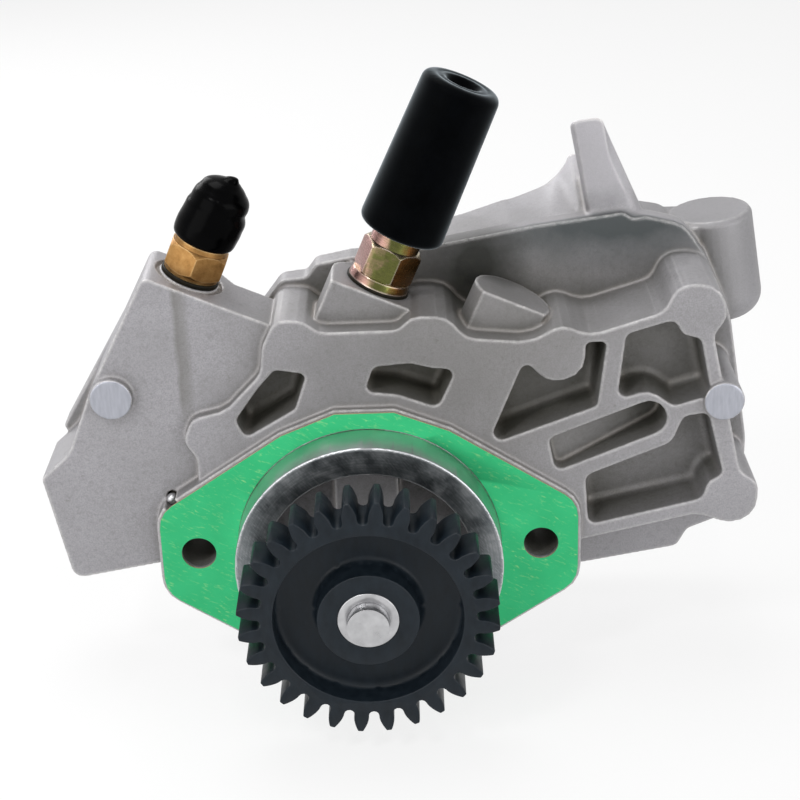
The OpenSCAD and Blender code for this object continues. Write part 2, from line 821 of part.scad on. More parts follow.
module rear_cover() {
  color("#a8a7a4")
    difference() {
      union() {
        slab(cover_front, cover_back)
          cover_profile(cover_margin - 1);
        bar(bush_r + 5, cover_back - over, cover_back + 3);
        at_xz([0, centre_distance])
          bar(bush_r + 5, cover_back - over, cover_back + 3);
      }
      bar(bush_r, cover_front - over, cover_back - 1 + seat_gap);
      bar(shaft_r + 1, cover_front, cover_back);
      at_xz([0, centre_distance])
        bar(idler_pin_r, cover_front - over, cover_back - 3 + seat_gap);
      for (p = screw_places)
        at_xz(p)
          bar(screw_r + 0.3, cover_front - over, cover_back + over);
    }
}

module cover_seal() {
  color("#3c4048")
    difference() {
      slab(chamber_back, cover_front)
        cover_profile(cover_margin - 1);
      bar(chamber_r, chamber_back - over, cover_front + over);
      at_xz([0, centre_distance])
        bar(chamber_r, chamber_back - over, cover_front + over);
      for (p = screw_places)
        at_xz(p)
          bar(screw_r + 0.3, chamber_back - over, cover_front + over);
    }
}

module cover_screws() {
  color("#85888c")
    for (p = screw_places)
      at_xz(p)
        difference() {
          union() {
            bar(screw_r, chamber_back - screw_depth, cover_back + over);
            bar(screw_head_r, cover_back, cover_back + screw_head_h);
          }
          translate([0, cover_back + screw_head_h + 0.5, 0])
            rotate([90, 0, 0])
              cylinder(d = screw_head_r, h = 4, $fn = 6);
        }
}

// Hexagonal prism measured across its flats
module hexagon(af, h, turn = 0) {
  rotate(turn)
    cylinder(d = af / cos(30), h = h, $fn = 6);
}

// Hexagon with turned chamfers at both ends
module turned_hexagon(af, h, turn = 0) {
  turned_r = af / cos(30) / 2 + 0.1;
  chamfer = turned_r - af / 2;
  intersection() {
    hexagon(af, h, turn);
    rotate_extrude()
      polygon([[0, 0], [af / 2, 0], [turned_r, chamfer], [turned_r, h - chamfer], [af / 2, h], [0, h]]);
  }
}

outlet_hex_low = seal_t + 1;
outlet_top = outlet_hex_low + outlet_hex_h;
cap_gap = 1.9;
cap_low = outlet_top + cap_gap;
cap_reach = cap_h * 0.74;
spout_gap = 1;
spout_top = cap_low + cap_reach - spout_gap;
outlet_neck_r = 8.2;
outlet_neck_h = 1.6;

module outlet_fitting() {
  color("#c08a3e")
    on_port(fitting_at)
      difference() {
        union() {
          translate([0, 0, -outlet_stem_l])
            cylinder(r = outlet_stem_r, h = outlet_stem_l + outlet_hex_low + over);
          translate([0, 0, seal_t])
            cylinder(r = outlet_collar_r - 0.5, h = 1.5);
          translate([0, 0, outlet_hex_low])
            turned_hexagon(outlet_af, outlet_hex_h, 90);
          translate([0, 0, outlet_top - over])
            cylinder(r = outlet_neck_r, h = over + outlet_neck_h);
          translate([0, 0, outlet_top - over])
            cylinder(r = outlet_spout_r, h = spout_top - outlet_top + over);
        }
        translate([0, 0, -outlet_stem_l - over])
          cylinder(r = outlet_bore_r, h = outlet_stem_l + over + outlet_bore_top);
        cylinder(r = check_seat_r, h = spout_top + over);
      }
}

module outlet_seal() {
  color("#2c2a26")
    on_port(fitting_at)
      difference() {
        cylinder(r = outlet_collar_r, h = seal_t);
        translate([0, 0, -over])
          cylinder(r = outlet_stem_r, h = seal_t + 2 * over);
      }
}

// Height of a check ball's centre above the edge of its seat
ball_sits = sqrt(check_ball_r * check_ball_r - check_seat_r * check_seat_r);
outlet_ball_s = -outlet_stem_l - seat_gap + ball_sits + slide_gap;

module outlet_check_ball() {
  color("#d5d8dc")
    on_port(fitting_at)
      translate([0, 0, outlet_ball_s])
        sphere(r = check_ball_r);
}

// Coil spring drawn as its outer sleeve
module spring_sleeve(r, wire, low, high) {
  translate([0, 0, low])
    difference() {
      cylinder(r = r, h = high - low);
      translate([0, 0, -over])
        cylinder(r = r - wire, h = high - low + 2 * over);
    }
}

module outlet_check_spring() {
  color("#9ea3a8")
    on_port(fitting_at)
      spring_sleeve(outlet_bore_r - 0.5, 0.8, outlet_ball_s + check_ball_r + slide_gap, outlet_bore_top - slide_gap);
}

// Cap outline as [share of its radius, share of its height]
cap_profile = [[0.94, 0], [0.98, 0.06], [1, 0.24], [0.985, 0.4], [0.96, 0.62], [0.92, 0.72],
  [0.83, 0.82], [0.66, 0.91], [0.42, 0.965], [0.26, 0.985], [0.18, 1.03], [0.1, 1.05]];

module protective_cap() {
  color("#17181a")
    on_port(fitting_at)
      translate([0, 0, cap_low])
        difference() {
          rotate_extrude()
            polygon(concat(
              [[0, 0]],
              [for (p = cap_profile) [p.x * cap_r, p.y * cap_h]],
              [[0, 1.05 * cap_h]]));
          translate([0, 0, -over])
            cylinder(r = outlet_spout_r + slide_gap, h = cap_reach + over);
        }
}

module primer_body() {
  color("#a79a4e")
    on_port(primer_at)
      difference() {
        union() {
          translate([0, 0, -primer_stem_l])
            cylinder(r = primer_stem_r, h = primer_stem_l + over);
          translate([0, 0, 1])
            cylinder(r1 = primer_foot_r, r2 = primer_foot_r - 0.6, h = primer_foot_h);
          translate([0, 0, primer_foot_h + 0.5])
            turned_hexagon(primer_af, primer_hex_h, primer_hex_turn);
          cylinder(r = barrel_r, h = barrel_top);
        }
        translate([0, 0, -5])
          cylinder(r = primer_bore_r, h = barrel_top + 6);
        translate([0, 0, -primer_stem_l + primer_seat_t])
          cylinder(r = check_ball_r + 0.6, h = primer_stem_l);
        translate([0, 0, -primer_stem_l - over])
          cylinder(r = check_seat_r, h = primer_stem_l);
      }
}

module primer_seal() {
  color("#241f1c")
    on_port(primer_at)
      difference() {
        cylinder(r = primer_foot_r + 0.3, h = 1);
        translate([0, 0, -over])
          cylinder(r = primer_stem_r, h = 3);
      }
}

module primer_guide() {
  color("#9aa0a4")
    on_port(primer_at)
      translate([0, 0, barrel_top - guide_l])
        difference() {
          cylinder(r = primer_bore_r, h = guide_l);
          translate([0, 0, -over])
            cylinder(r = rod_r + slide_gap, h = guide_l + 2 * over);
        }
}

knob_top = knob_low + knob_h;
knob_ceiling = knob_top - knob_lid;
ring_w = 1.5;
spring_r = rod_r + 3;
spring_wire = 1.4;
spring_seat = 0.1;
rod_grip = 3.5;
knob_round_r = 2;
knob_crown_r = 2.6;
// Top of the knob as [radius, depth]: a shallow groove, a lip and a thumb dimple
knob_dimple = [[8.4, 0], [7.8, 0.3], [7.2, 0.3], [6.6, 0], [5.6, 0.1], [4.9, 0.8], [4.2, 2.2], [3, 3.2], [0, 3.5]];

module primer_rod() {
  color("#c3c7cb")
    on_port(primer_at)
      difference() {
        union() {
          translate([0, 0, piston_rest])
            cylinder(r = primer_bore_r - slide_gap, h = piston_l);
          translate([0, 0, piston_rest])
            cylinder(r = rod_r, h = knob_ceiling - piston_rest + rod_grip);
        }
        translate([0, 0, piston_rest + piston_l / 2 - ring_w / 2])
          difference() {
            cylinder(r = primer_bore_r + over, h = ring_w);
            translate([0, 0, -over])
              cylinder(r = primer_bore_r - 1.2, h = ring_w + 2 * over);
          }
      }
}

module primer_piston_ring() {
  color("#1d1d1f")
    on_port(primer_at)
      translate([0, 0, piston_rest + piston_l / 2 - ring_w / 2])
        difference() {
          cylinder(r = primer_bore_r - slide_gap, h = ring_w);
          translate([0, 0, -over])
            cylinder(r = primer_bore_r - 1.2, h = ring_w + 2 * over);
        }
}

module primer_knob() {
  color("#26292b")
    on_port(primer_at)
      translate([0, 0, knob_low])
        rotate_extrude()
          difference() {
            polygon(concat(
              [[0, 0.6]],
              [for (a = [-90 : 15 : 0])
                [knob_r - knob_round_r * (1 - cos(a)), knob_round_r * (1 + sin(a))]],
              [for (a = [0 : 15 : 90])
                [knob_top_r - knob_crown_r * (1 - cos(a)), knob_h - knob_crown_r * (1 - sin(a))]],
              [for (p = knob_dimple) [p.x, knob_h - p.y]]));
            translate([-over, -over])
              square([knob_inner_r + over, knob_h - knob_lid + over]);
            translate([-over, -over])
              square([rod_r + over, knob_h - knob_lid + rod_grip + over]);
          }
}

module primer_spring() {
  color("#9ea3a8")
    on_port(primer_at)
      spring_sleeve(spring_r, spring_wire, barrel_top + spring_seat, knob_ceiling - spring_seat);
}

inlet_ball_s = -primer_stem_l + primer_seat_t + ball_sits + slide_gap;

module inlet_check_ball() {
  color("#d5d8dc")
    on_port(primer_at)
      translate([0, 0, inlet_ball_s])
        sphere(r = check_ball_r);
}

module gallery_ball() {
  color("#dfe1e4")
    translate([ball_at.x, web_front + 4 - ball_r, ball_at.y])
      sphere(r = ball_r - seat_gap);
}

module relief_piston() {
  color("#b9bdc2")
    at_xz(relief_at)
      difference() {
        bar(relief_r, relief_rest, relief_rest + relief_piston_l);
        bar(relief_r - relief_wall, relief_rest + relief_crown_t, relief_rest + relief_piston_l + over);
      }
}

module relief_spring() {
  color("#9ea3a8")
    at_xz(relief_at)
      difference() {
        bar(relief_r - relief_wall - 0.2, relief_rest + relief_crown_t + slide_gap,
          chamber_back - relief_plug_l - slide_gap);
        bar(relief_r - relief_wall - 1.3, relief_floor, chamber_back);
      }
}

module relief_plug() {
  color("#8f9398")
    at_xz(relief_at) {
      bar(relief_r + 2, chamber_back - relief_plug_l, chamber_back + relief_washer_t + over);
      translate([0, chamber_back + relief_washer_t + relief_plug_head, 0])
        rotate([90, 0, 0])
          hexagon(2 * relief_r + 5, relief_plug_head);
    }
}

module relief_washer() {
  color("#b87333")
    at_xz(relief_at)
      difference() {
        bar(relief_r + 3.2, chamber_back, chamber_back + relief_washer_t);
        bar(relief_r + 2, chamber_back - over, chamber_back + relief_washer_t + over);
      }
}

housing();
mounting_gasket();
drive_gear();
gear_hub_insert();
drive_shaft();
shaft_seal();
front_bush();
rear_bush();
pump_drive_gear();
pump_gear_key();
pump_idler_gear();
idler_pin();
rear_cover();
cover_seal();
cover_screws();
outlet_fitting();
outlet_seal();
outlet_check_ball();
outlet_check_spring();
protective_cap();
primer_body();
primer_seal();
primer_guide();
primer_rod();
primer_piston_ring();
primer_knob();
primer_spring();
inlet_check_ball();
gallery_ball();
relief_piston();
relief_spring();
relief_plug();
relief_washer();
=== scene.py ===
import json
import math

import bpy
from mathutils import Matrix, Vector


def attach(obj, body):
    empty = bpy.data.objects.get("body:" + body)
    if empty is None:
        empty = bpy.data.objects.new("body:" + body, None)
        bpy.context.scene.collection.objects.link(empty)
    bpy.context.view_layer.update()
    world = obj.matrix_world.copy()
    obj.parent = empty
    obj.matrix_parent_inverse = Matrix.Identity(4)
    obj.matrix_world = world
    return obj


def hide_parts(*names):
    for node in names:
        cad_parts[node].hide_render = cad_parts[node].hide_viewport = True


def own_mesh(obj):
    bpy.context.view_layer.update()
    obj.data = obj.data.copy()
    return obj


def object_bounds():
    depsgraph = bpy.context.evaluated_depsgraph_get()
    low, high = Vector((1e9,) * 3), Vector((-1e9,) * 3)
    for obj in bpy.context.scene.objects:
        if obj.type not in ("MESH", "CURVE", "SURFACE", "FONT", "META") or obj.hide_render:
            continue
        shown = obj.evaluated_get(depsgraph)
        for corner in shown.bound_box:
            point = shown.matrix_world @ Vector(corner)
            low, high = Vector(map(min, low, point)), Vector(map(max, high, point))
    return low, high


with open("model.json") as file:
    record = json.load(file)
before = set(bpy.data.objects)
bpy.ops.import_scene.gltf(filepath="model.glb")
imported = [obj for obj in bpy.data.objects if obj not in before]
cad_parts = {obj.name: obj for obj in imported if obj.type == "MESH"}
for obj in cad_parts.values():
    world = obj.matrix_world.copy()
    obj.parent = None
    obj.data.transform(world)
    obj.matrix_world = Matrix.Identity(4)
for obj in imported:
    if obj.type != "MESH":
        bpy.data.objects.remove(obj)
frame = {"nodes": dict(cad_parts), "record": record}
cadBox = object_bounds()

mm = 0.001
portTilt = math.radians(24)  # both ports lean to the right
portAxis = Vector((math.sin(portTilt), 0, math.cos(portTilt)))
outletFoot = Vector((-50.5, 21, 81.8)) * mm
primerFoot = Vector((5, 21, 77.6)) * mm
meshWork = {"join": 0.002, "flat": 0.4}  # points this near in mm join, and faces within so many degrees
mixSockets = {"share": 0, "first": 6, "second": 7, "result": 2}  # where a Mix node has them for colours


def deselectAll():
    bpy.ops.object.select_all(action="DESELECT")


def activate(obj):
    deselectAll()
    obj.select_set(True)
    bpy.context.view_layer.objects.active = obj


def applyModifier(obj, name, kind, **settings):
    activate(obj)
    modifier = obj.modifiers.new(name, kind)
    for key, value in settings.items():
        setattr(modifier, key, value)
    bpy.ops.object.modifier_apply(modifier=name)


def smoothFaces(obj, angle):
    activate(obj)
    bpy.ops.object.shade_smooth_by_angle(angle=math.radians(angle))


def mergedCopy(node, name):
    # a new object with the node's mesh, its loose triangles joined
    obj = bpy.data.objects.new(name, frame["nodes"][node].data.copy())
    bpy.context.scene.collection.objects.link(obj)
    activate(obj)
    bpy.ops.object.mode_set(mode="EDIT")
    bpy.ops.mesh.select_all(action="SELECT")
    bpy.ops.mesh.remove_doubles(threshold=meshWork["join"] * mm)
    bpy.ops.object.mode_set(mode="OBJECT")
    return obj


def evenSkin(obj, voxel, factor, passes):
    # an even grid of small faces, with its edges softened
    applyModifier(obj, "grid", "REMESH", mode="VOXEL", voxel_size=voxel * mm)
    applyModifier(obj, "soften", "SMOOTH", factor=factor, iterations=passes)


def bodyOf(node):
    for body, members in frame["record"]["behaviour"]["bodies"].items():
        if node in members:
            return body
    return "root"


def slotOf(node):
    for row in frame["record"]["subparts"]:
        if row["node"] == node:
            return row["material_slot"]
    return None


def takePlace(obj, node):
    # the piece stands for the node, on its body and in its finish
    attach(obj, bodyOf(node))
    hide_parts(node)


def dress(obj, *materials):
    obj.data.materials.clear()
    for material in materials:
        obj.data.materials.append(material)


def roundedCopy(node, name, width, material, angle=28, segments=2, smooth=40):
    # the node with its flat faces joined and its edges rounded
    obj = mergedCopy(node, name)
    bpy.ops.object.mode_set(mode="EDIT")
    bpy.ops.mesh.select_all(action="SELECT")
    bpy.ops.mesh.dissolve_limited(angle_limit=math.radians(meshWork["flat"]))
    bpy.ops.object.mode_set(mode="OBJECT")
    applyModifier(obj, "edges", "BEVEL", width=width * mm, segments=segments, limit_method="ANGLE",
                  angle_limit=math.radians(angle), use_clamp_overlap=True)
    smoothFaces(obj, smooth)
    dress(obj, material)
    takePlace(obj, node)
    return obj


class Finish:
    # a procedural material that is built up layer by layer on Object coordinates
    def __init__(self, name, **sockets):
        self.material = bpy.data.materials.new(name)
        self.material.use_nodes = True
        self.nodes = self.material.node_tree.nodes
        self.links = self.material.node_tree.links
        self.shader = self.nodes["Principled BSDF"]
        for key, value in sockets.items():
            self.shader.inputs[key.replace("_", " ")].default_value = value
        where = self.nodes.new("ShaderNodeTexCoord")
        self.coordinates = where.outputs["Object"]
        self.facets = where.outputs["Normal"]
        self.height = None

    def feed(self, socket, value):
        # a link, a colour or a plain number
        if isinstance(value, bpy.types.NodeSocket):
            self.links.new(value, socket)
        elif isinstance(value, tuple):
            socket.default_value = (*value, 1)
        else:
            socket.default_value = value

    def placed(self, stretch=(1, 1, 1), turn=(0, 0, 0), at=(0, 0, 0)):
        mapping = self.nodes.new("ShaderNodeMapping")
        mapping.vector_type = "TEXTURE"
        mapping.inputs["Location"].default_value = at
        mapping.inputs["Rotation"].default_value = turn
        mapping.inputs["Scale"].default_value = stretch
        self.links.new(self.coordinates, mapping.inputs["Vector"])
        return mapping.outputs["Vector"]

    def span(self, vector):
        node = self.nodes.new("ShaderNodeVectorMath")
        node.operation = "LENGTH"
        self.links.new(vector, node.inputs[0])
        return node.outputs["Value"]

    def axis(self, vector, which):
        node = self.nodes.new("ShaderNodeSeparateXYZ")
        self.links.new(vector, node.inputs["Vector"])
        return node.outputs[which]

    def around(self, middle, sizes):
        # 0 in the middle and 1 on an egg shape of these half sizes, in millimetres
        return self.span(self.placed([size * mm for size in sizes], at=[place * mm for place in middle]))

    def above(self, foot, reach):
        # 0 at the foot and 1 at the reach over it, in millimetres
        return self.axis(self.placed((1, 1, reach * mm), at=(0, 0, foot * mm)), "Z")

    def fromAxis(self):
        # distance from the shaft's axis
        flat = self.nodes.new("ShaderNodeVectorMath")
        flat.operation = "MULTIPLY"
        flat.inputs[1].default_value = (1, 0, 1)
        self.links.new(self.coordinates, flat.inputs[0])
        return self.span(flat.outputs["Vector"])

    def noise(self, size, detail=3, roughness=0.55, vector=None, distortion=0.0):
        # size is the width of one blotch in millimetres
        node = self.nodes.new("ShaderNodeTexNoise")
        node.inputs["Scale"].default_value = 1 / (size * mm)
        node.inputs["Detail"].default_value = detail
        node.inputs["Roughness"].default_value = roughness
        node.inputs["Distortion"].default_value = distortion
        self.links.new(vector or self.coordinates, node.inputs["Vector"])
        return node.outputs["Fac"]

    def rings(self, size, detail):
        # the marks that a lathe leaves round the shaft's axis
        join = self.nodes.new("ShaderNodeCombineXYZ")
        self.links.new(self.fromAxis(), join.inputs["X"])
        return self.noise(size, detail, vector=join.outputs["Vector"])

    def cells(self, size):
        node = self.nodes.new("ShaderNodeTexVoronoi")
        node.inputs["Scale"].default_value = 1 / (size * mm)
        self.links.new(self.coordinates, node.inputs["Vector"])
        return node.outputs["Distance"]

    def openness(self, reach, inside=False):
        # 1 in the open and 0 in a corner; inside turns it round, so it falls near outer edges
        node = self.nodes.new("ShaderNodeAmbientOcclusion")
        node.inside = inside
        node.only_local = True
        node.samples = 3
        node.inputs["Distance"].default_value = reach * mm
        return node.outputs["AO"]

    def ramp(self, source, *stops):
        # stops are (position, grey or colour)
        node = self.nodes.new("ShaderNodeValToRGB")
        while len(node.color_ramp.elements) < len(stops):
            node.color_ramp.elements.new(0.5)
        for element, (position, value) in zip(node.color_ramp.elements, stops):
            element.position = position
            element.color = (*value, 1) if isinstance(value, tuple) else (value, value, value, 1)
        self.links.new(source, node.inputs["Fac"])
        return node.outputs["Color"]

    def mix(self, share, first, second, kind="MIX"):
        node = self.nodes.new("ShaderNodeMix")
        node.data_type = "RGBA"
        node.blend_type = kind
        self.feed(node.inputs[mixSockets["share"]], share)
        self.feed(node.inputs[mixSockets["first"]], first)
        self.feed(node.inputs[mixSockets["second"]], second)
        return node.outputs[mixSockets["result"]]

    def both(self, first, second):
        # where two masks meet
        return self.mix(1.0, first, second, "MULTIPLY")

    def maths(self, kind, first, second):
        node = self.nodes.new("ShaderNodeMath")
        node.operation = kind
        self.feed(node.inputs[0], first)
        self.feed(node.inputs[1], second)
        return node.outputs["Value"]

    def add(self, first, second):
        return self.maths("ADD", first, second)

    def times(self, first, second):
        return self.maths("MULTIPLY", first, second)

    def paint(self, color):
        self.links.new(color, self.shader.inputs["Base Color"])

    def gloss(self, source, low, high):
        self.links.new(self.ramp(source, (0.3, low), (0.7, high)), self.shader.inputs["Roughness"])

    def bump(self, source, depth, strength=1.0):
        # depth is the height of the relief in millimetres
        node = self.nodes.new("ShaderNodeBump")
        node.inputs["Strength"].default_value = strength
        node.inputs["Distance"].default_value = depth * mm
        self.links.new(source, node.inputs["Height"])
        if self.height:
            self.links.new(self.height, node.inputs["Normal"])
        self.height = node.outputs["Normal"]
        self.links.new(self.height, self.shader.inputs["Normal"])


castLook = {
    "light": (0.397, 0.387, 0.410),
    "dark": (0.248, 0.244, 0.250),
    "shade": (0.075, 0.073, 0.052),  # oily film and painted shade in the pockets and hollows, and the dark in the pits
    "stain": (0.15, 0.145, 0.13),
    "filletHighlight": (0.56, 0.50, 0.45),  # painted highlight on the inside corners' fillets
    # painted highlight along the outer edges
    "rim": (0.74, 0.72, 0.71),
    "litHigh": (0.58, 0.565, 0.60),  # painted light: the fin and what stands high are painted paler
    "metal": 0.42,
    # widths of the blotches in mm
    "cloud": 16, "pebble": 1.5, "grain": 0.36,
    # how far the oily dirt and painted shade in hollows, the painted highlight in corners and the painted
    # highlight on edges reach, in mm
    "hollow": 26, "corner": 1.4, "edge": 1.0,
    # the darker stripe down the left block, painted shade of a fold in the casting: its x and half width,
    # then its foot and how it fades in
    "seam": (-51.8, 3.2), "seamFoot": (38, 40),
    "high": (86, 40),  # from where the painted light makes the metal paler, and over what height
    # places in mm with their half sizes: the painted shade on the middle of the web and on the side lug, and
    # the blind boss, where the painted shade in the hollows is held back
    "middleShade": ((30, 0, 64), (72, 72, 72)),
    "lugShade": ((103, 52, 74), (30, 30, 30)),
    "bossSpared": ((37, 18, 80), (17, 17, 17)),
    # an old fuel film with painted shade under the wall's top edge, and the primer knob's painted shadow on
    # the wall, with their colours
    "shadePatches": (((76, 32, 92), (46, 2.4, 13), (0.058, 0.068, 0.070)),
             ((34, 32, 79), (14, 9, 13), (0.026, 0.027, 0.023))),
}


def foldShadeBand(finish):
    # painted shade of a fold in the casting, a soft darker stripe on the block's front
    place, half = castLook["seam"]
    along = finish.placed((half * mm, 1, 1), at=(place * mm, 0, 0))
    across = finish.add(finish.axis(along, "X"), finish.times(finish.noise(9, 3), 0.5))
    stripe = finish.ramp(finish.times(finish.add(across, 0.95), 0.5),
                         (0.05, 0.0), (0.28, 0.60), (0.62, 0.42), (0.95, 0.0))
    return finish.both(stripe, finish.ramp(finish.above(*castLook["seamFoot"]), (0.0, 0.0), (0.25, 1.0)))


def castSkin(finish, cloud, pebble, grain):
    # the mottled and pitted skin that the mould leaves
    base = finish.mix(finish.ramp(cloud, (0.34, 0.30), (0.66, 0.0)), castLook["light"], castLook["dark"])
    base = finish.mix(finish.ramp(grain, (0.34, 0.70), (0.62, 0.0)), base, castLook["dark"])
    base = finish.mix(finish.ramp(pebble, (0.52, 0.0), (0.70, 0.50)), base, castLook["dark"])
    smudge = finish.both(finish.ramp(finish.noise(3.2, 5, 0.75), (0.60, 0.0), (0.74, 0.7)),
                         finish.ramp(finish.noise(24, 2), (0.50, 0.0), (0.58, 1.0)))
    base = finish.mix(smudge, base, castLook["stain"])
    pits = finish.both(finish.ramp(finish.cells(1.9), (0.0, 1.0), (0.085, 0.0)),
                       finish.ramp(finish.noise(7, 2), (0.55, 0.0), (0.6, 0.8)))
    base = finish.mix(pits, base, castLook["shade"])
    # the stain colour here paints the fold's shade
    return finish.mix(foldShadeBand(finish), base, castLook["stain"])


def castWear(finish, base, cloud):
    # painted shade on the middle of the web and on the side lug, and painted light high up
    # painted shade on the middle of the web, in the stain colour
    middleShade = finish.add(finish.around(*castLook["middleShade"]), finish.times(cloud, 0.4))
    middleShade = finish.ramp(finish.times(middleShade, 0.5), (0.20, 0.56), (0.70, 0.0))
    base = finish.mix(middleShade, base, castLook["stain"])
    # painted light: paler from this height up
    high = finish.ramp(finish.above(*castLook["high"]), (0.0, 0.0), (0.35, 0.46))
    base = finish.mix(high, base, castLook["litHigh"])
    # painted shade on the side lug
    lugShade = finish.ramp(finish.around(*castLook["lugShade"]), (0.6, 0.6), (1.0, 0.0))
    return finish.mix(lugShade, base, castLook["dark"])


def castDirt(finish, base, hollow):
    # oily dirt and painted shade in what lies deep, held back in the spigot's cup and around the blind boss,
    # then the painted shade and shadow patches on the wall, and mottled dirt with painted shade in the
    # hollows
    # painted shade, with oily dirt, where the ambient occlusion finds a hollow
    deep = finish.ramp(hollow, (0.20, 0.96), (0.42, 0.48), (0.60, 0.16), (0.88, 0.0))
    cup = finish.times(finish.fromAxis(), 10)  # 0.31 is 31 mm from the shaft's axis
    deep = finish.both(deep, finish.ramp(cup, (0.31, 0.2), (0.33, 1.0)))
    # the painted shade is held back around the blind boss
    bossSpared = finish.ramp(finish.around(*castLook["bossSpared"]), (0.6, 0.15), (1.0, 1.0))
    base = finish.mix(finish.both(deep, bossSpared), base, castLook["shade"])
    # painted shade under the wall's top edge and the knob's painted shadow behind the primer
    for middle, sizes, tint in castLook["shadePatches"]:
        film = finish.add(finish.around(middle, sizes), finish.times(finish.noise(8, 4), 0.5))
        film = finish.ramp(finish.times(film, 0.5), (0.32, 0.94), (0.60, 0.40), (0.82, 0.0))
        base = finish.mix(film, base, tint)
    # mottled oily dirt and painted shade in the hollows
    soilAndShade = finish.both(finish.ramp(finish.noise(1.8, 5, 0.75), (0.46, 0.0), (0.66, 0.55)),
                       finish.ramp(hollow, (0.30, 1.0), (0.72, 0.0)))
    return finish.mix(soilAndShade, base, castLook["shade"])


def castAluminium():
    finish = Finish("castAluminium", Metallic=castLook["metal"])
    cloud = finish.noise(castLook["cloud"], 4, 0.6)
    pebble = finish.noise(castLook["pebble"], 3, 0.6)
    grain = finish.noise(castLook["grain"], 3, 0.7)
    hollow = finish.openness(castLook["hollow"])
    base = castSkin(finish, cloud, pebble, grain)
    base = castWear(finish, base, cloud)
    base = castDirt(finish, base, hollow)
    # painted highlight on the inside corners' fillets, found by a short ambient occlusion
    filletHighlight = finish.both(finish.ramp(finish.openness(castLook["corner"]), (0.64, 0.72), (0.90, 0.0)),
                         finish.ramp(hollow, (0.30, 1.0), (0.62, 0.15)))
    base = finish.mix(filletHighlight, base, castLook["filletHighlight"])
    # painted highlight along the outer edges, broken up by noise
    ragged = finish.times(finish.noise(2.2, 5, 0.75), 0.44)
    edge = finish.add(finish.openness(castLook["edge"], inside=True), ragged)
    finish.paint(finish.mix(finish.ramp(edge, (0.82, 0.95), (1.0, 0.0)), base, castLook["rim"]))
    finish.gloss(cloud, 0.46, 0.6)
    finish.bump(pebble, 0.10, 0.5)
    finish.bump(grain, 0.07, 0.8)
    return finish.material


spigotLook = {
    # the turned outside, then the front face: mottled and scratched, its dark tone partly painted
    # reflection, with a painted highlight on its edge
    "dull": (0.50, 0.515, 0.53), "bright": (0.66, 0.67, 0.68),
    "groove": (0.40, 0.42, 0.44), "fleck": (0.30, 0.31, 0.32),
    "faceDark": (0.14, 0.16, 0.17), "face": (0.24, 0.26, 0.27), "facePale": (0.40, 0.41, 0.42),
    "faceScratch": (0.46, 0.47, 0.48), "faceGroove": (0.12, 0.13, 0.14), "faceEdge": (0.72, 0.73, 0.74),
}


def turnedAluminium():
    finish = Finish("turnedAluminium", Metallic=1.0)
    smear = finish.noise(14, 3, 0.5)
    base = finish.ramp(smear, (0.3, spigotLook["dull"]), (0.7, spigotLook["bright"]))
    groove = finish.ramp(finish.rings(0.5, 2), (0.4, 0.25), (0.6, 0.0))
    base = finish.mix(groove, base, spigotLook["groove"])
    fleck = finish.ramp(finish.noise(1.1, 5, 0.8), (0.68, 0.0), (0.76, 0.4))
    finish.paint(finish.mix(fleck, base, spigotLook["fleck"]))
    finish.gloss(smear, 0.30, 0.42)
    finish.bump(finish.rings(0.22, 1), 0.012, 0.5)
    return finish.material


def facedAluminium():
    finish = Finish("facedAluminium", Metallic=1.0)
    patch = finish.noise(6, 4, 0.65)
    # the dark tone of the face is partly painted reflection
    base = finish.ramp(patch, (0.32, spigotLook["faceDark"]), (0.52, spigotLook["face"]),
                       (0.72, spigotLook["facePale"]))
    scratch = finish.noise(0.35, 4, 0.75, vector=finish.placed((7, 1, 1), (0, 0.9, 0)))
    scratch = finish.ramp(scratch, (0.48, 0.0), (0.66, 0.5))
    base = finish.mix(scratch, base, spigotLook["faceScratch"])
    groove = finish.ramp(finish.rings(0.5, 2), (0.4, 0.35), (0.6, 0.0))
    base = finish.mix(groove, base, spigotLook["faceGroove"])
    # painted highlight along the face's edges
    edge = finish.ramp(finish.openness(0.8, inside=True), (0.55, 0.8), (0.85, 0.0))
    finish.paint(finish.mix(edge, base, spigotLook["faceEdge"]))
    finish.gloss(patch, 0.32, 0.5)
    finish.bump(finish.rings(0.22, 1), 0.012, 0.5)
    return finish.material


padLook = {"dark": (0.36, 0.37, 0.415), "light": (0.44, 0.45, 0.50), "metal": 0.75}


def milledAluminium():
    finish = Finish("milledAluminium", Metallic=padLook["metal"])
    cut = finish.noise(0.8, 3, vector=finish.placed((1, 1, 6)))
    finish.paint(finish.ramp(cut, (0.3, padLook["dark"]), (0.7, padLook["light"])))
    finish.gloss(cut, 0.34, 0.46)
    finish.bump(cut, 0.01, 0.3)
    return finish.material


gasketLook = {
    "deep": (0.030, 0.48, 0.182), "pale": (0.042, 0.56, 0.222),
    "thread": (0.42, 0.76, 0.29), "stain": (0.012, 0.28, 0.10),
    "edgeDark": (0.34, 0.26, 0.14), "edgePale": (0.50, 0.42, 0.27),  # the bare fibre where it was cut
    "roughness": 0.62, "edgeRoughness": 0.7,
}


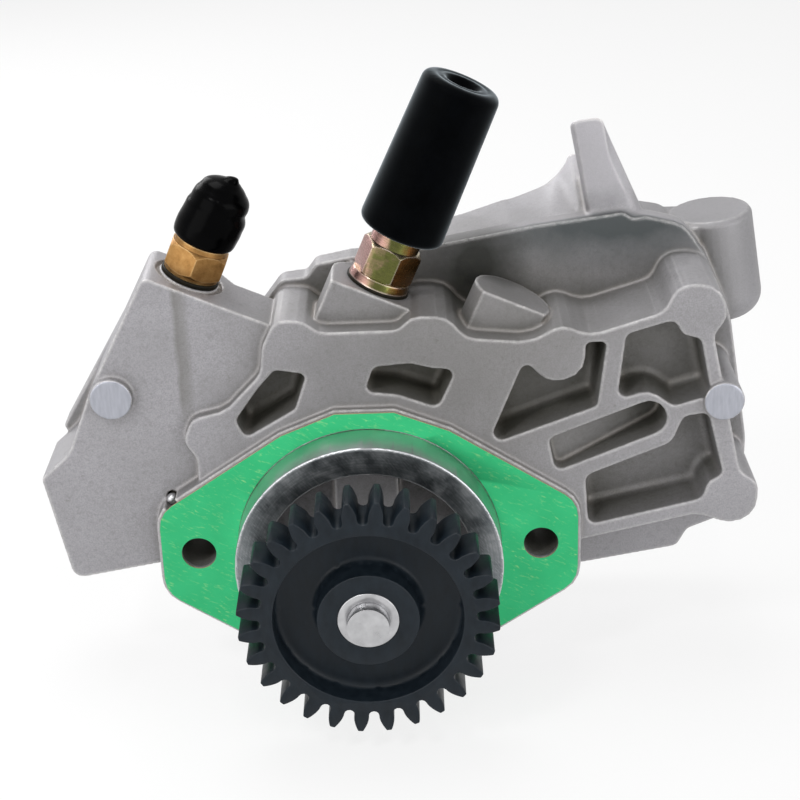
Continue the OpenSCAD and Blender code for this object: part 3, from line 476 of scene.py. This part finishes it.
def gasketFibre():
    finish = Finish("gasketFibre", Roughness=gasketLook["roughness"], Specular_IOR_Level=0.25)
    base = finish.ramp(finish.noise(14, 4), (0.3, gasketLook["deep"]), (0.7, gasketLook["pale"]))
    fibre = finish.noise(1.3, 5, 0.75, vector=finish.placed((2.8, 1, 0.7), (0, 0.5, 0)), distortion=0.7)
    patch = finish.ramp(finish.noise(9, 3, 0.7), (0.40, 0.3), (0.60, 1.0))
    thread = finish.both(finish.ramp(fibre, (0.56, 0.0), (0.69, 0.85)), patch)
    base = finish.mix(thread, base, gasketLook["thread"])
    stain = finish.ramp(finish.noise(4, 5, 0.75), (0.66, 0.0), (0.78, 0.35))
    finish.paint(finish.mix(stain, base, gasketLook["stain"]))
    finish.bump(fibre, 0.03, 0.4)
    return finish.material


def gasketEdge():
    finish = Finish("gasketEdge", Roughness=gasketLook["edgeRoughness"])
    layer = finish.noise(0.8, 3, vector=finish.placed((1, 0.2, 1)))
    finish.paint(finish.ramp(layer, (0.3, gasketLook["edgeDark"]), (0.7, gasketLook["edgePale"])))
    finish.bump(layer, 0.03, 0.4)
    return finish.material


gearLook = {"dark": (0.005, 0.0085, 0.0125), "light": (0.010, 0.0155, 0.0215), "worn": (0.05, 0.062, 0.072)}


def gearNylon():
    finish = Finish("gearNylon", Specular_IOR_Level=0.22)
    flow = finish.noise(2.6, 4, 0.6, vector=finish.placed((1, 1, 2.2)))
    base = finish.ramp(flow, (0.3, gearLook["dark"]), (0.7, gearLook["light"]))
    edge = finish.add(finish.openness(0.5, inside=True), finish.times(finish.noise(0.8, 4), 0.3))
    finish.paint(finish.mix(finish.ramp(edge, (0.62, 0.5), (0.9, 0.0)), base, gearLook["worn"]))
    finish.gloss(flow, 0.32, 0.5)
    finish.bump(finish.noise(0.3, 2), 0.02, 0.35)
    return finish.material


steelLook = {
    "shaftDark": (0.44, 0.44, 0.45), "shaftLight": (0.56, 0.56, 0.57),
    "hardDark": (0.26, 0.26, 0.27), "hardLight": (0.44, 0.44, 0.45),
}


def turnedSteel():
    finish = Finish("turnedSteel", Metallic=1.0)
    stain = finish.noise(3, 4)
    finish.paint(finish.ramp(stain, (0.3, steelLook["shaftDark"]), (0.7, steelLook["shaftLight"])))
    finish.gloss(stain, 0.26, 0.4)
    finish.bump(finish.rings(0.2, 1), 0.01, 0.3)
    return finish.material


def hardenedSteel():
    finish = Finish("hardenedSteel", Metallic=1.0)
    oil = finish.noise(3, 4)
    finish.paint(finish.ramp(oil, (0.3, steelLook["hardDark"]), (0.7, steelLook["hardLight"])))
    finish.gloss(oil, 0.26, 0.4)
    finish.bump(finish.noise(0.4, 2, vector=finish.placed((1, 8, 1))), 0.008, 0.3)
    return finish.material


bronzeLook = {"dark": (0.36, 0.20, 0.08), "light": (0.52, 0.33, 0.14), "roughness": 0.38}


def bearingBronze():
    finish = Finish("bearingBronze", Roughness=bronzeLook["roughness"], Metallic=1.0)
    finish.paint(finish.ramp(finish.noise(2, 4), (0.3, bronzeLook["dark"]), (0.7, bronzeLook["light"])))
    finish.bump(finish.noise(0.5, 2), 0.015, 0.3)
    return finish.material


brassLook = {
    "dark": (0.21, 0.105, 0.032), "middle": (0.32, 0.17, 0.056), "light": (0.42, 0.24, 0.088),
    "spot": (0.17, 0.08, 0.02), "edge": (0.80, 0.58, 0.30), "metal": 0.95,
}


def machinedBrass():
    finish = Finish("machinedBrass", Metallic=brassLook["metal"])
    tone = finish.noise(2.4, 4, 0.65)
    base = finish.ramp(tone, (0.28, brassLook["dark"]), (0.5, brassLook["middle"]),
                       (0.75, brassLook["light"]))
    spots = finish.ramp(finish.noise(1.1, 5, 0.8), (0.60, 0.0), (0.70, 0.7))
    base = finish.mix(spots, base, brassLook["spot"])
    edge = finish.ramp(finish.openness(0.5, inside=True), (0.55, 0.7), (0.85, 0.0))
    finish.paint(finish.mix(edge, base, brassLook["edge"]))
    finish.gloss(tone, 0.38, 0.5)
    finish.bump(finish.noise(0.35, 2, vector=finish.placed((4, 4, 1))), 0.01, 0.35)
    return finish.material


zincLook = {
    # the film's colours from the side that faces left round to the side that faces right: partly the film's
    # own colour, partly painted light, lightest on the side that faces left
    "film": ((0.06, (0.44, 0.25, 0.23)), (0.26, (0.36, 0.21, 0.17)), (0.40, (0.115, 0.12, 0.035)),
             (0.62, (0.13, 0.135, 0.036)), (0.80, (0.19, 0.075, 0.018)), (1.0, (0.12, 0.07, 0.02))),
    "streak": (0.05, 0.05, 0.02), "turned": (0.50, 0.42, 0.28), "edge": (0.80, 0.66, 0.58), "metal": 0.95,
}


def yellowZinc():
    finish = Finish("yellowZinc", Metallic=zincLook["metal"])
    facing = finish.nodes.new("ShaderNodeMapping")
    facing.vector_type = "TEXTURE"
    facing.inputs["Rotation"].default_value = (0, portTilt, 0)
    finish.links.new(finish.facets, facing.inputs["Vector"])
    sideways = finish.axis(facing.outputs["Vector"], "X")
    upright = finish.axis(facing.outputs["Vector"], "Z")
    cloud = finish.times(finish.noise(3.2, 4), 0.3)
    # colour by facing direction: film colour and painted light
    shifted = finish.add(finish.times(sideways, 0.5), finish.add(cloud, 0.36))
    film = finish.ramp(shifted, *zincLook["film"])
    streak = finish.noise(0.45, 3, 0.7, vector=finish.placed((9, 9, 0.7), (0, portTilt, 0), primerFoot))
    film = finish.mix(finish.ramp(streak, (0.42, 0.0), (0.62, 0.35)), film, zincLook["streak"])
    turned = finish.add(finish.times(upright, upright), cloud)
    film = finish.mix(finish.ramp(turned, (0.46, 0.0), (0.66, 0.8)), film, zincLook["turned"])
    # painted highlight along the edges
    edge = finish.ramp(finish.openness(0.5, inside=True), (0.60, 0.8), (0.86, 0.0))
    finish.paint(finish.mix(edge, film, zincLook["edge"]))
    finish.gloss(finish.noise(1.5, 3), 0.18, 0.32)
    finish.bump(streak, 0.012, 0.5)
    return finish.material


rubberLook = {
    "knobDark": (0.0003, 0.0004, 0.0006), "knobDust": (0.0012, 0.0015, 0.002),
    "sheen": 0.75, "sheenRoughness": 0.3, "sheenTint": (0.82, 0.93, 1.0, 1),
    "capDark": (0.0002, 0.0002, 0.0003), "capLight": (0.0006, 0.0006, 0.0008),
    "sealDark": (0.003, 0.0028, 0.002), "sealOil": (0.014, 0.011, 0.005), "sealRoughness": 0.55,
}


def knobRubber():
    finish = Finish("knobRubber", IOR=1.06, Sheen_Weight=rubberLook["sheen"],
                    Sheen_Roughness=rubberLook["sheenRoughness"], Sheen_Tint=rubberLook["sheenTint"])
    dust = finish.noise(6, 5, 0.6)
    finish.paint(finish.ramp(dust, (0.35, rubberLook["knobDark"]), (0.75, rubberLook["knobDust"])))
    finish.gloss(dust, 0.36, 0.5)
    finish.bump(finish.noise(0.5, 3), 0.03, 0.35)
    return finish.material


def capVinyl():
    finish = Finish("capVinyl", IOR=1.11)
    skin = finish.noise(5, 3)
    finish.paint(finish.ramp(skin, (0.3, rubberLook["capDark"]), (0.7, rubberLook["capLight"])))
    finish.gloss(skin, 0.2, 0.26)
    finish.bump(skin, 0.08, 0.2)
    return finish.material


def sealRubber():
    finish = Finish("sealRubber", Roughness=rubberLook["sealRoughness"], Specular_IOR_Level=0.15)
    oil = finish.noise(1.5, 3)
    finish.paint(finish.ramp(oil, (0.3, rubberLook["sealDark"]), (0.7, rubberLook["sealOil"])))
    finish.bump(oil, 0.02, 0.3)
    return finish.material


copperLook = {"dark": (0.40, 0.17, 0.09), "light": (0.58, 0.28, 0.16), "roughness": 0.36}


def softCopper():
    finish = Finish("softCopper", Roughness=copperLook["roughness"], Metallic=1.0)
    tone = finish.noise(1.5, 4)
    finish.paint(finish.ramp(tone, (0.3, copperLook["dark"]), (0.7, copperLook["light"])))
    finish.bump(tone, 0.01, 0.3)
    return finish.material


finishes = {
    "cast_aluminium": castAluminium(),
    "gasket_fibre": gasketFibre(),
    "gear_nylon": gearNylon(),
    "turned_steel": turnedSteel(),
    "hardened_steel": hardenedSteel(),
    "bronze": bearingBronze(),
    "black_rubber": knobRubber(),
    "seal_rubber": sealRubber(),
    "brass": machinedBrass(),
    "zinc_plated": yellowZinc(),
    "cap_vinyl": capVinyl(),
    "copper": softCopper(),
}
for node, obj in frame["nodes"].items():
    dress(obj, finishes[slotOf(node)])
print("finishes made")


def easing(low, high, value):
    share = max(0, min(1, (value - low) / (high - low)))
    return share * share * (3 - 2 * share)


def band(value, rise, fall):
    # 1 between its two soft margins
    return easing(*rise, value) * (1 - easing(*fall, value))


def bell(middle, width, value):
    return math.exp(-((value - middle) / width) ** 2)


castingShape = {
    "voxel": 0.42, "softening": 0.5, "passes": 2, "triangles": 192000, "smooth": 50,
    "easing": 110,  # passes that run the metal smoothly up to the fin
    # where, in mm: left of the fin, up to its side, which has this x at this height and leans by so much
    "riseX": (44, 49), "riseY": (40.3, 42), "riseZ": (86, 89), "finSide": (68.1, 87, 0.194), "margin": 2,
    # and round its foot, with a soft margin at both ends
    "footX": ((68, 70), (86, 88)), "footY": ((33, 34.2), (38, 40)), "footZ": ((88, 90), (97, 99)),
}
castSurfaces = {"asCast": 0, "turned": 1, "milled": 2, "faced": 3}  # places in the casting's finishes
machinedFaces = {
    # in mm: radii round the shaft of the spigot's face and outside, and how far back they are looked for
    "face": (31.6, 39.6), "outside": (39.2, 41), "front": 0.9,
    # distance of the bolt holes from the shaft, their radius, and how far back
    "boltHoles": (52, 5.5, 3.6),
    # x, z and radius of the two milled pads, and how far back
    "pads": ((-74.6, 50, 6.1, 5.2), (106, 44.7, 5.9, 1.6)),
    "faceForward": -0.6, "padForward": -0.9,  # how squarely their flats look to the front, -1 in full
}


def easeFoot(obj):
    # the metal runs smoothly up behind the fin and round its foot
    group = obj.vertex_groups.new(name="foot")
    sideX, sideZ, lean = castingShape["finSide"]
    for vertex in obj.data.vertices:
        x, y, z = vertex.co / mm
        side = sideX - (z - sideZ) * lean
        rise = band(x, castingShape["riseX"], (side - castingShape["margin"], side))
        rise *= easing(*castingShape["riseY"], y) * easing(*castingShape["riseZ"], z)
        foot = band(y, *castingShape["footY"]) * band(x, *castingShape["footX"])
        foot *= band(z, *castingShape["footZ"])
        share = max(rise, foot)
        if share > 0:
            group.add([vertex.index], share, "REPLACE")
    applyModifier(obj, "ease", "SMOOTH", factor=0.5, iterations=castingShape["easing"], vertex_group="foot")


def surfaceOf(place, forward):
    # which finish a face of the casting gets
    x, y, z = place
    fromShaft = math.hypot(x, z)
    low, high = machinedFaces["face"]
    if y < machinedFaces["front"] and low < fromShaft < high and forward < machinedFaces["faceForward"]:
        return castSurfaces["faced"]
    low, high = machinedFaces["outside"]
    if y < machinedFaces["front"] and low < fromShaft < high:
        return castSurfaces["turned"]
    holeX, radius, depth = machinedFaces["boltHoles"]
    if y < depth and math.hypot(abs(x) - holeX, z) < radius:
        return castSurfaces["milled"]
    for padX, padZ, radius, depth in machinedFaces["pads"]:
        if y < depth and math.hypot(x - padX, z - padZ) < radius and forward < machinedFaces["padForward"]:
            return castSurfaces["milled"]
    return castSurfaces["asCast"]


def makeCasting():
    # the casting with its edges softened the way sand and shot leave them
    obj = mergedCopy("housing", "pumpCasting")
    evenSkin(obj, castingShape["voxel"], castingShape["softening"], castingShape["passes"])
    count = sum(len(face.vertices) - 2 for face in obj.data.polygons)
    print("casting grid", count)
    easeFoot(obj)
    applyModifier(obj, "thin", "DECIMATE", ratio=min(1, castingShape["triangles"] / count))
    smoothFaces(obj, castingShape["smooth"])
    dress(obj, finishes["cast_aluminium"], turnedAluminium(), milledAluminium(), facedAluminium())
    for face in obj.data.polygons:
        face.material_index = surfaceOf(face.center / mm, face.normal.y)
    takePlace(obj, "housing")


makeCasting()
print("casting made")

gasketFit = {"edge": 0.08, "found": 40.7, "bore": 40.12}  # the sheet is punched close to the spigot


def makeGasket():
    gasket = roundedCopy("mounting_gasket", "gasketSheet", gasketFit["edge"], finishes["gasket_fibre"],
                         segments=1)
    gasket.data.materials.append(gasketEdge())
    for face in gasket.data.polygons:
        if abs(face.normal.y) < 0.5:
            face.material_index = 1
    for vertex in gasket.data.vertices:
        reach = math.hypot(vertex.co.x, vertex.co.z)
        if reach < gasketFit["found"] * mm:
            vertex.co.x *= gasketFit["bore"] * mm / reach
            vertex.co.z *= gasketFit["bore"] * mm / reach


makeGasket()
print("gasket made")

fittedPieces = {
    # node: piece name, edge width in mm, edge angle, segments, smoothing angle
    "drive_gear": ("gearWheel", 0.3, 35, 2, 40),
    "gear_hub_insert": ("hubInsert", 0.25, 28, 2, 40),
    "drive_shaft": ("driveShaft", 0.3, 28, 2, 40),
    "outlet_fitting": ("outletFitting", 0.16, 28, 2, 30),
    "outlet_seal": ("outletSeal", 0.4, 28, 3, 60),
    "primer_body": ("primerBody", 0.16, 28, 2, 30),
    "primer_seal": ("primerSeal", 0.25, 28, 3, 60),
    "primer_rod": ("primerRod", 0.25, 28, 2, 40),
    "primer_guide": ("primerGuide", 0.2, 28, 2, 40),
    "primer_piston_ring": ("pistonRing", 0.15, 28, 2, 40),
    "rear_cover": ("rearCover", 0.8, 28, 3, 40),
    "cover_seal": ("coverSeal", 0.06, 28, 1, 30),
    "cover_screws": ("coverScrews", 0.3, 28, 2, 40),
    "relief_plug": ("reliefPlug", 0.3, 28, 2, 40),
    "relief_washer": ("reliefWasher", 0.15, 28, 2, 40),
    "relief_piston": ("reliefPiston", 0.2, 28, 2, 40),
    "pump_drive_gear": ("pumpDriveGear", 0.12, 35, 1, 40),
    "pump_idler_gear": ("pumpIdlerGear", 0.12, 35, 1, 40),
    "pump_gear_key": ("gearKey", 0.15, 28, 2, 30),
    "idler_pin": ("idlerPin", 0.3, 28, 2, 40),
    "front_bush": ("frontBush", 0.2, 28, 2, 40),
    "rear_bush": ("rearBush", 0.2, 28, 2, 40),
    "shaft_seal": ("shaftSeal", 0.3, 28, 2, 40),
    "outlet_check_ball": ("outletBall", 0.02, 60, 1, 80),
    "inlet_check_ball": ("inletBall", 0.02, 60, 1, 80),
    "gallery_ball": ("galleryBall", 0.02, 60, 1, 80),
}
for node, (name, width, angle, segments, smooth) in fittedPieces.items():
    roundedCopy(node, name, width, finishes[slotOf(node)], angle, segments, smooth)
print("fitted pieces made")

capShape = {
    "voxel": 0.3, "softening": 6, "settling": 24, "smooth": 60,
    # heights in mm over the cap's foot, sizes in mm
    "foot": 12.4, "bore": 7.35, "skin": 8.4, "top": 15.6, "dome": 0.9,
    "nub": 18.6, "nubRise": 1.4, "nubShift": 2.3,
    # pressed in on the left, over these heights, and stepped in over the skirt
    "squeeze": 0.7, "squeezeRise": (2, 10), "shoulder": 0.6, "skirt": 10.4, "skirtRise": 1.8,
    "fade": (16, 20),
    # a notch and a bulge on the right, with height, spread and size, and a foot tucked in
    "notch": (11.2, 1.3, 0.55), "bulge": (8.4, 1.5, 0.3), "tuck": 0.35, "tuckHeight": 6,
    # dents: turn from the right to the front and its spread in degrees, height and its spread, depth
    "dents": ((52, 18, 9.6, 2.4, 0.2), (110, 22, 13, 1.8, 0.14), (75, 24, 3.4, 2.0, 0.14)),
}


def capPush(across, ahead, up, reach):
    # how far the skin stands out from the plain cap
    side = across / max(reach, 0.1)
    leftward, rightward = max(0, -side) ** 1.2, max(0, side) ** 1.6
    fade = 1 - easing(*capShape["fade"], up)
    push = -capShape["squeeze"] * leftward * easing(*capShape["squeezeRise"], up) * fade
    step = easing(capShape["skirt"], capShape["skirt"] + capShape["skirtRise"], up)
    push -= capShape["shoulder"] * leftward * step * fade
    height, tall, depth = capShape["notch"]
    push -= depth * rightward * bell(height, tall, up)
    height, tall, size = capShape["bulge"]
    push += size * rightward * bell(height, tall, up)
    push -= capShape["tuck"] * rightward * (1 - easing(0, capShape["tuckHeight"], up))
    turn = math.degrees(math.atan2(ahead, across))
    for middle, spread, height, tall, depth in capShape["dents"]:
        push -= depth * bell(middle, spread, turn) * bell(height, tall, up)
    # the middle of the top and the lip of the bore stay as they are
    if up > capShape["top"]:
        return push * easing(0, 8, reach)
    return push * easing(capShape["bore"], capShape["skin"], reach)


def makeCap():
    # a soft dipped cap, dented where it was pushed over the spout
    obj = mergedCopy("protective_cap", "outletCap")
    evenSkin(obj, capShape["voxel"], 0.5, capShape["softening"])
    right = Vector((math.cos(portTilt), 0, -math.sin(portTilt)))
    front = Vector((0, -1, 0))
    bore, top, nub = capShape["bore"], capShape["top"], capShape["nub"]
    outside = obj.vertex_groups.new(name="outside")
    for vertex in obj.data.vertices:
        place = (vertex.co - outletFoot) / mm
        up = place.dot(portAxis) - capShape["foot"]
        across, ahead = place.dot(right), place.dot(front)
        reach = math.hypot(across, ahead)
        if reach < bore and up < top:
            continue  # the bore keeps its fit
        if reach > bore + 0.6 or up > top + 0.5:
            outside.add([vertex.index], 1, "REPLACE")
        push = capPush(across, ahead, up, reach) / max(reach, 0.1)
        sink = capShape["dome"] * (reach / 7) ** 2 * easing(top - 1, top + 3, up)
        shift = capShape["nubShift"] * easing(nub, nub + capShape["nubRise"], up) * bell(0, 3.4, reach)
        moved = right * (across * push + shift) + front * (ahead * push + 0.3 * shift) - portAxis * sink
        vertex.co += moved * mm
    applyModifier(obj, "settle", "SMOOTH", factor=0.5, iterations=capShape["settling"],
                  vertex_group="outside")
    smoothFaces(obj, capShape["smooth"])
    dress(obj, finishes["cap_vinyl"])
    takePlace(obj, "protective_cap")


makeCap()
print("cap made")

# the knob is pushed up its rod a little, by the shifts in mm
knobShape = {"voxel": 0.45, "passes": 8, "lowShift": 1.3, "highShift": 0.6, "smooth": 60}


def makeKnob():
    # moulded rubber, its skin one even mesh
    obj = mergedCopy("primer_knob", "primerKnob")
    evenSkin(obj, knobShape["voxel"], 0.5, knobShape["passes"])
    heights = [(vertex.co - primerFoot).dot(portAxis) for vertex in obj.data.vertices]
    low, high = min(heights), max(heights)
    for vertex, height in zip(obj.data.vertices, heights):
        share = (height - low) / (high - low)
        vertex.co += portAxis * (knobShape["lowShift"] * (1 - share) + knobShape["highShift"] * share) * mm
    smoothFaces(obj, knobShape["smooth"])
    dress(obj, finishes["black_rubber"])
    takePlace(obj, "primer_knob")


makeKnob()
print("knob made")

springs = {
    # turn is from upright, ends are heights over the foot, fixed is the end that stays, and keep is the
    # share of its length that the joint leaves; all lengths in mm
    "primer_spring": {
        "name": "primerSpring", "foot": primerFoot, "axis": portAxis, "turn": (0, portTilt, 0),
        "ends": (30.1, 56.4), "radius": 5.3, "wire": 1.3, "turns": 8,
        "joint": "primer_push", "fixed": 30.1, "keep": 0.696,
    },
    "outlet_check_spring": {
        "name": "outletSpring", "foot": outletFoot, "axis": portAxis, "turn": (0, portTilt, 0),
        "ends": (-8.05, 2.15), "radius": 3.3, "wire": 0.75, "turns": 6,
        "joint": "outlet_check_lift", "fixed": 2.15, "keep": 0.853,
    },
    "relief_spring": {
        "name": "reliefSpring", "foot": Vector((-44, 0, 26)) * mm, "axis": Vector((0, 1, 0)),
        "turn": (-math.pi / 2, 0, 0), "ends": (15.05, 30.25), "radius": 3.05, "wire": 1.0, "turns": 7,
        "joint": "relief_lift", "fixed": 30.25, "keep": 0.671,
    },
}
# faces round the wire, along each turn and along an end ring, then the widest hole that is closed
wireFaces = {"round": 12, "steps": 24, "ring": 48, "hole": 14}


def windSpring(node, values):
    # one wire ring swept up its coil, with a closed ring at each end
    low, high = values["ends"]
    height = high - low - values["wire"]
    middle = low + values["wire"] / 2
    steps = wireFaces["steps"] * values["turns"]
    deselectAll()
    bpy.ops.mesh.primitive_circle_add(vertices=wireFaces["round"], radius=values["wire"] / 2 * mm,
                                      location=(values["radius"] * mm, 0, 0), rotation=(math.pi / 2, 0, 0))
    coil = bpy.context.active_object
    bpy.ops.object.transform_apply(location=True, rotation=True, scale=True)
    applyModifier(coil, "sweep", "SCREW", axis="Z", angle=2 * math.pi * values["turns"],
                  screw_offset=height * mm, steps=steps, render_steps=steps, use_merge_vertices=False)
    activate(coil)
    bpy.ops.object.mode_set(mode="EDIT")
    bpy.ops.mesh.select_all(action="SELECT")
    bpy.ops.mesh.fill_holes(sides=wireFaces["hole"])
    bpy.ops.mesh.normals_make_consistent(inside=False)
    bpy.ops.object.mode_set(mode="OBJECT")
    rings = []
    for place in (0, height):
        deselectAll()
        bpy.ops.mesh.primitive_torus_add(major_radius=values["radius"] * mm,
                                         minor_radius=values["wire"] / 2 * mm,
                                         major_segments=wireFaces["ring"], minor_segments=wireFaces["round"],
                                         location=(0, 0, place * mm))
        rings.append(bpy.context.active_object)
    activate(coil)
    for ring in rings:
        ring.select_set(True)
    bpy.ops.object.join()
    coil.rotation_euler = values["turn"]
    coil.location = values["foot"] + values["axis"] * middle * mm
    activate(coil)
    bpy.ops.object.transform_apply(location=True, rotation=True, scale=True)
    bpy.ops.object.shade_smooth()
    coil.name = values["name"]
    coil.data.name = values["name"]
    dress(coil, finishes["hardened_steel"])
    takePlace(coil, node)
    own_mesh(coil)


for node, values in springs.items():
    windSpring(node, values)
print("springs wound")

stageLook = {
    "floorSize": 40, "floor": (0.9, 0.9, 0.9, 1), "roughness": 0.9,
    "glow": 0.8,  # how much of the floor shines by itself where it is seen
    "ambient": 0.30,
    "backdrop": (0.855, 0.855, 0.855, 1),  # as bright as the far floor
}


def rayShare(tree, *kinds):
    # 1 on rays of these kinds
    rays = tree.nodes.new("ShaderNodeLightPath")
    share = rays.outputs[kinds[0]]
    for kind in kinds[1:]:
        either = tree.nodes.new("ShaderNodeMath")
        either.operation = "MAXIMUM"
        tree.links.new(share, either.inputs[0])
        tree.links.new(rays.outputs[kind], either.inputs[1])
        share = either.outputs[0]
    return share


def makeStage():
    bpy.ops.mesh.primitive_plane_add(size=stageLook["floorSize"], location=(0, 0, cadBox[0][2]))
    floor = bpy.context.active_object
    floor.name = "floor"
    material = bpy.data.materials.new("paleFloor")
    material.use_nodes = True
    tree = material.node_tree
    shader = tree.nodes["Principled BSDF"]
    shader.inputs["Base Color"].default_value = stageLook["floor"]
    shader.inputs["Roughness"].default_value = stageLook["roughness"]
    glow = tree.nodes.new("ShaderNodeEmission")
    share = tree.nodes.new("ShaderNodeMath")
    share.operation = "MULTIPLY"
    share.inputs[1].default_value = stageLook["glow"]
    tree.links.new(rayShare(tree, "Is Camera Ray", "Is Glossy Ray"), share.inputs[0])
    blend = tree.nodes.new("ShaderNodeMixShader")
    tree.links.new(share.outputs[0], blend.inputs[0])
    tree.links.new(shader.outputs[0], blend.inputs[1])
    tree.links.new(glow.outputs[0], blend.inputs[2])
    tree.links.new(blend.outputs[0], tree.nodes["Material Output"].inputs["Surface"])
    floor.data.materials.append(material)


def makeWorld():
    world = bpy.data.worlds.new("studio")
    bpy.context.scene.world = world
    world.use_nodes = True
    tree = world.node_tree
    ambient = tree.nodes["Background"]
    ambient.inputs["Color"].default_value = (1, 1, 1, 1)
    ambient.inputs["Strength"].default_value = stageLook["ambient"]
    backdrop = tree.nodes.new("ShaderNodeBackground")
    backdrop.inputs["Color"].default_value = stageLook["backdrop"]
    blend = tree.nodes.new("ShaderNodeMixShader")
    tree.links.new(rayShare(tree, "Is Camera Ray", "Is Glossy Ray", "Is Transmission Ray"), blend.inputs[0])
    tree.links.new(ambient.outputs[0], blend.inputs[1])
    tree.links.new(backdrop.outputs[0], blend.inputs[2])
    tree.links.new(blend.outputs[0], tree.nodes["World Output"].inputs["Surface"])


lamps = {
    # place, size in m and power in W of each soft box, aimed at the pump; the upper two are round
    "overhead": ((-0.1, 0.2, 0.95), 0.5, 4.0),
    "left": ((-0.8, -0.7, 0.16), 0.85, 4.0),
    "right": ((0.75, -0.6, 0.22), 0.75, 3.8),
    "rear": ((-0.45, 0.75, 0.5), 0.5, 3.4),
    "upperLeft": ((-0.35, -0.45, 0.7), 0.18, 1.9),
    "upperRight": ((0.1, -0.6, 0.7), 0.12, 0.6),
}
pumpMiddle = Vector((0.01, 0.02, 0.03))


def makeLamps():
    for name, (place, size, power) in lamps.items():
        bpy.ops.object.light_add(type="AREA", location=place)
        lamp = bpy.context.active_object
        lamp.name = name
        lamp.data.shape = "DISK" if name.startswith("upper") else "SQUARE"
        lamp.data.size = size
        lamp.data.energy = power
        aim = pumpMiddle - Vector(place)
        lamp.rotation_euler = aim.to_track_quat("-Z", "Y").to_euler()


photoCamera = {
    # the photograph's own place and heading, in metres, and its lens
    "place": (0.01535, -0.47216, 0.26182),
    "right": (0.9995, -0.0048, -0.0324), "up": (0.0315, 0.4109, 0.9112), "back": (0.009, -0.9117, 0.4108),
    "lens": 79.68, "sensor": 36, "near": 0.01,
}


def makeCamera():
    bpy.ops.object.camera_add(location=photoCamera["place"])
    camera = bpy.context.active_object
    rows = [Vector(photoCamera[side]) for side in ("right", "up", "back")]
    turn = Matrix(rows).transposed()
    camera.rotation_euler = turn.to_euler()
    camera.data.lens = photoCamera["lens"]
    camera.data.sensor_width = photoCamera["sensor"]
    camera.data.clip_start = photoCamera["near"]
    bpy.context.scene.camera = camera


bpy.context.scene.view_settings.view_transform = "Standard"
makeStage()
makeWorld()
makeLamps()
makeCamera()
print("stage made")
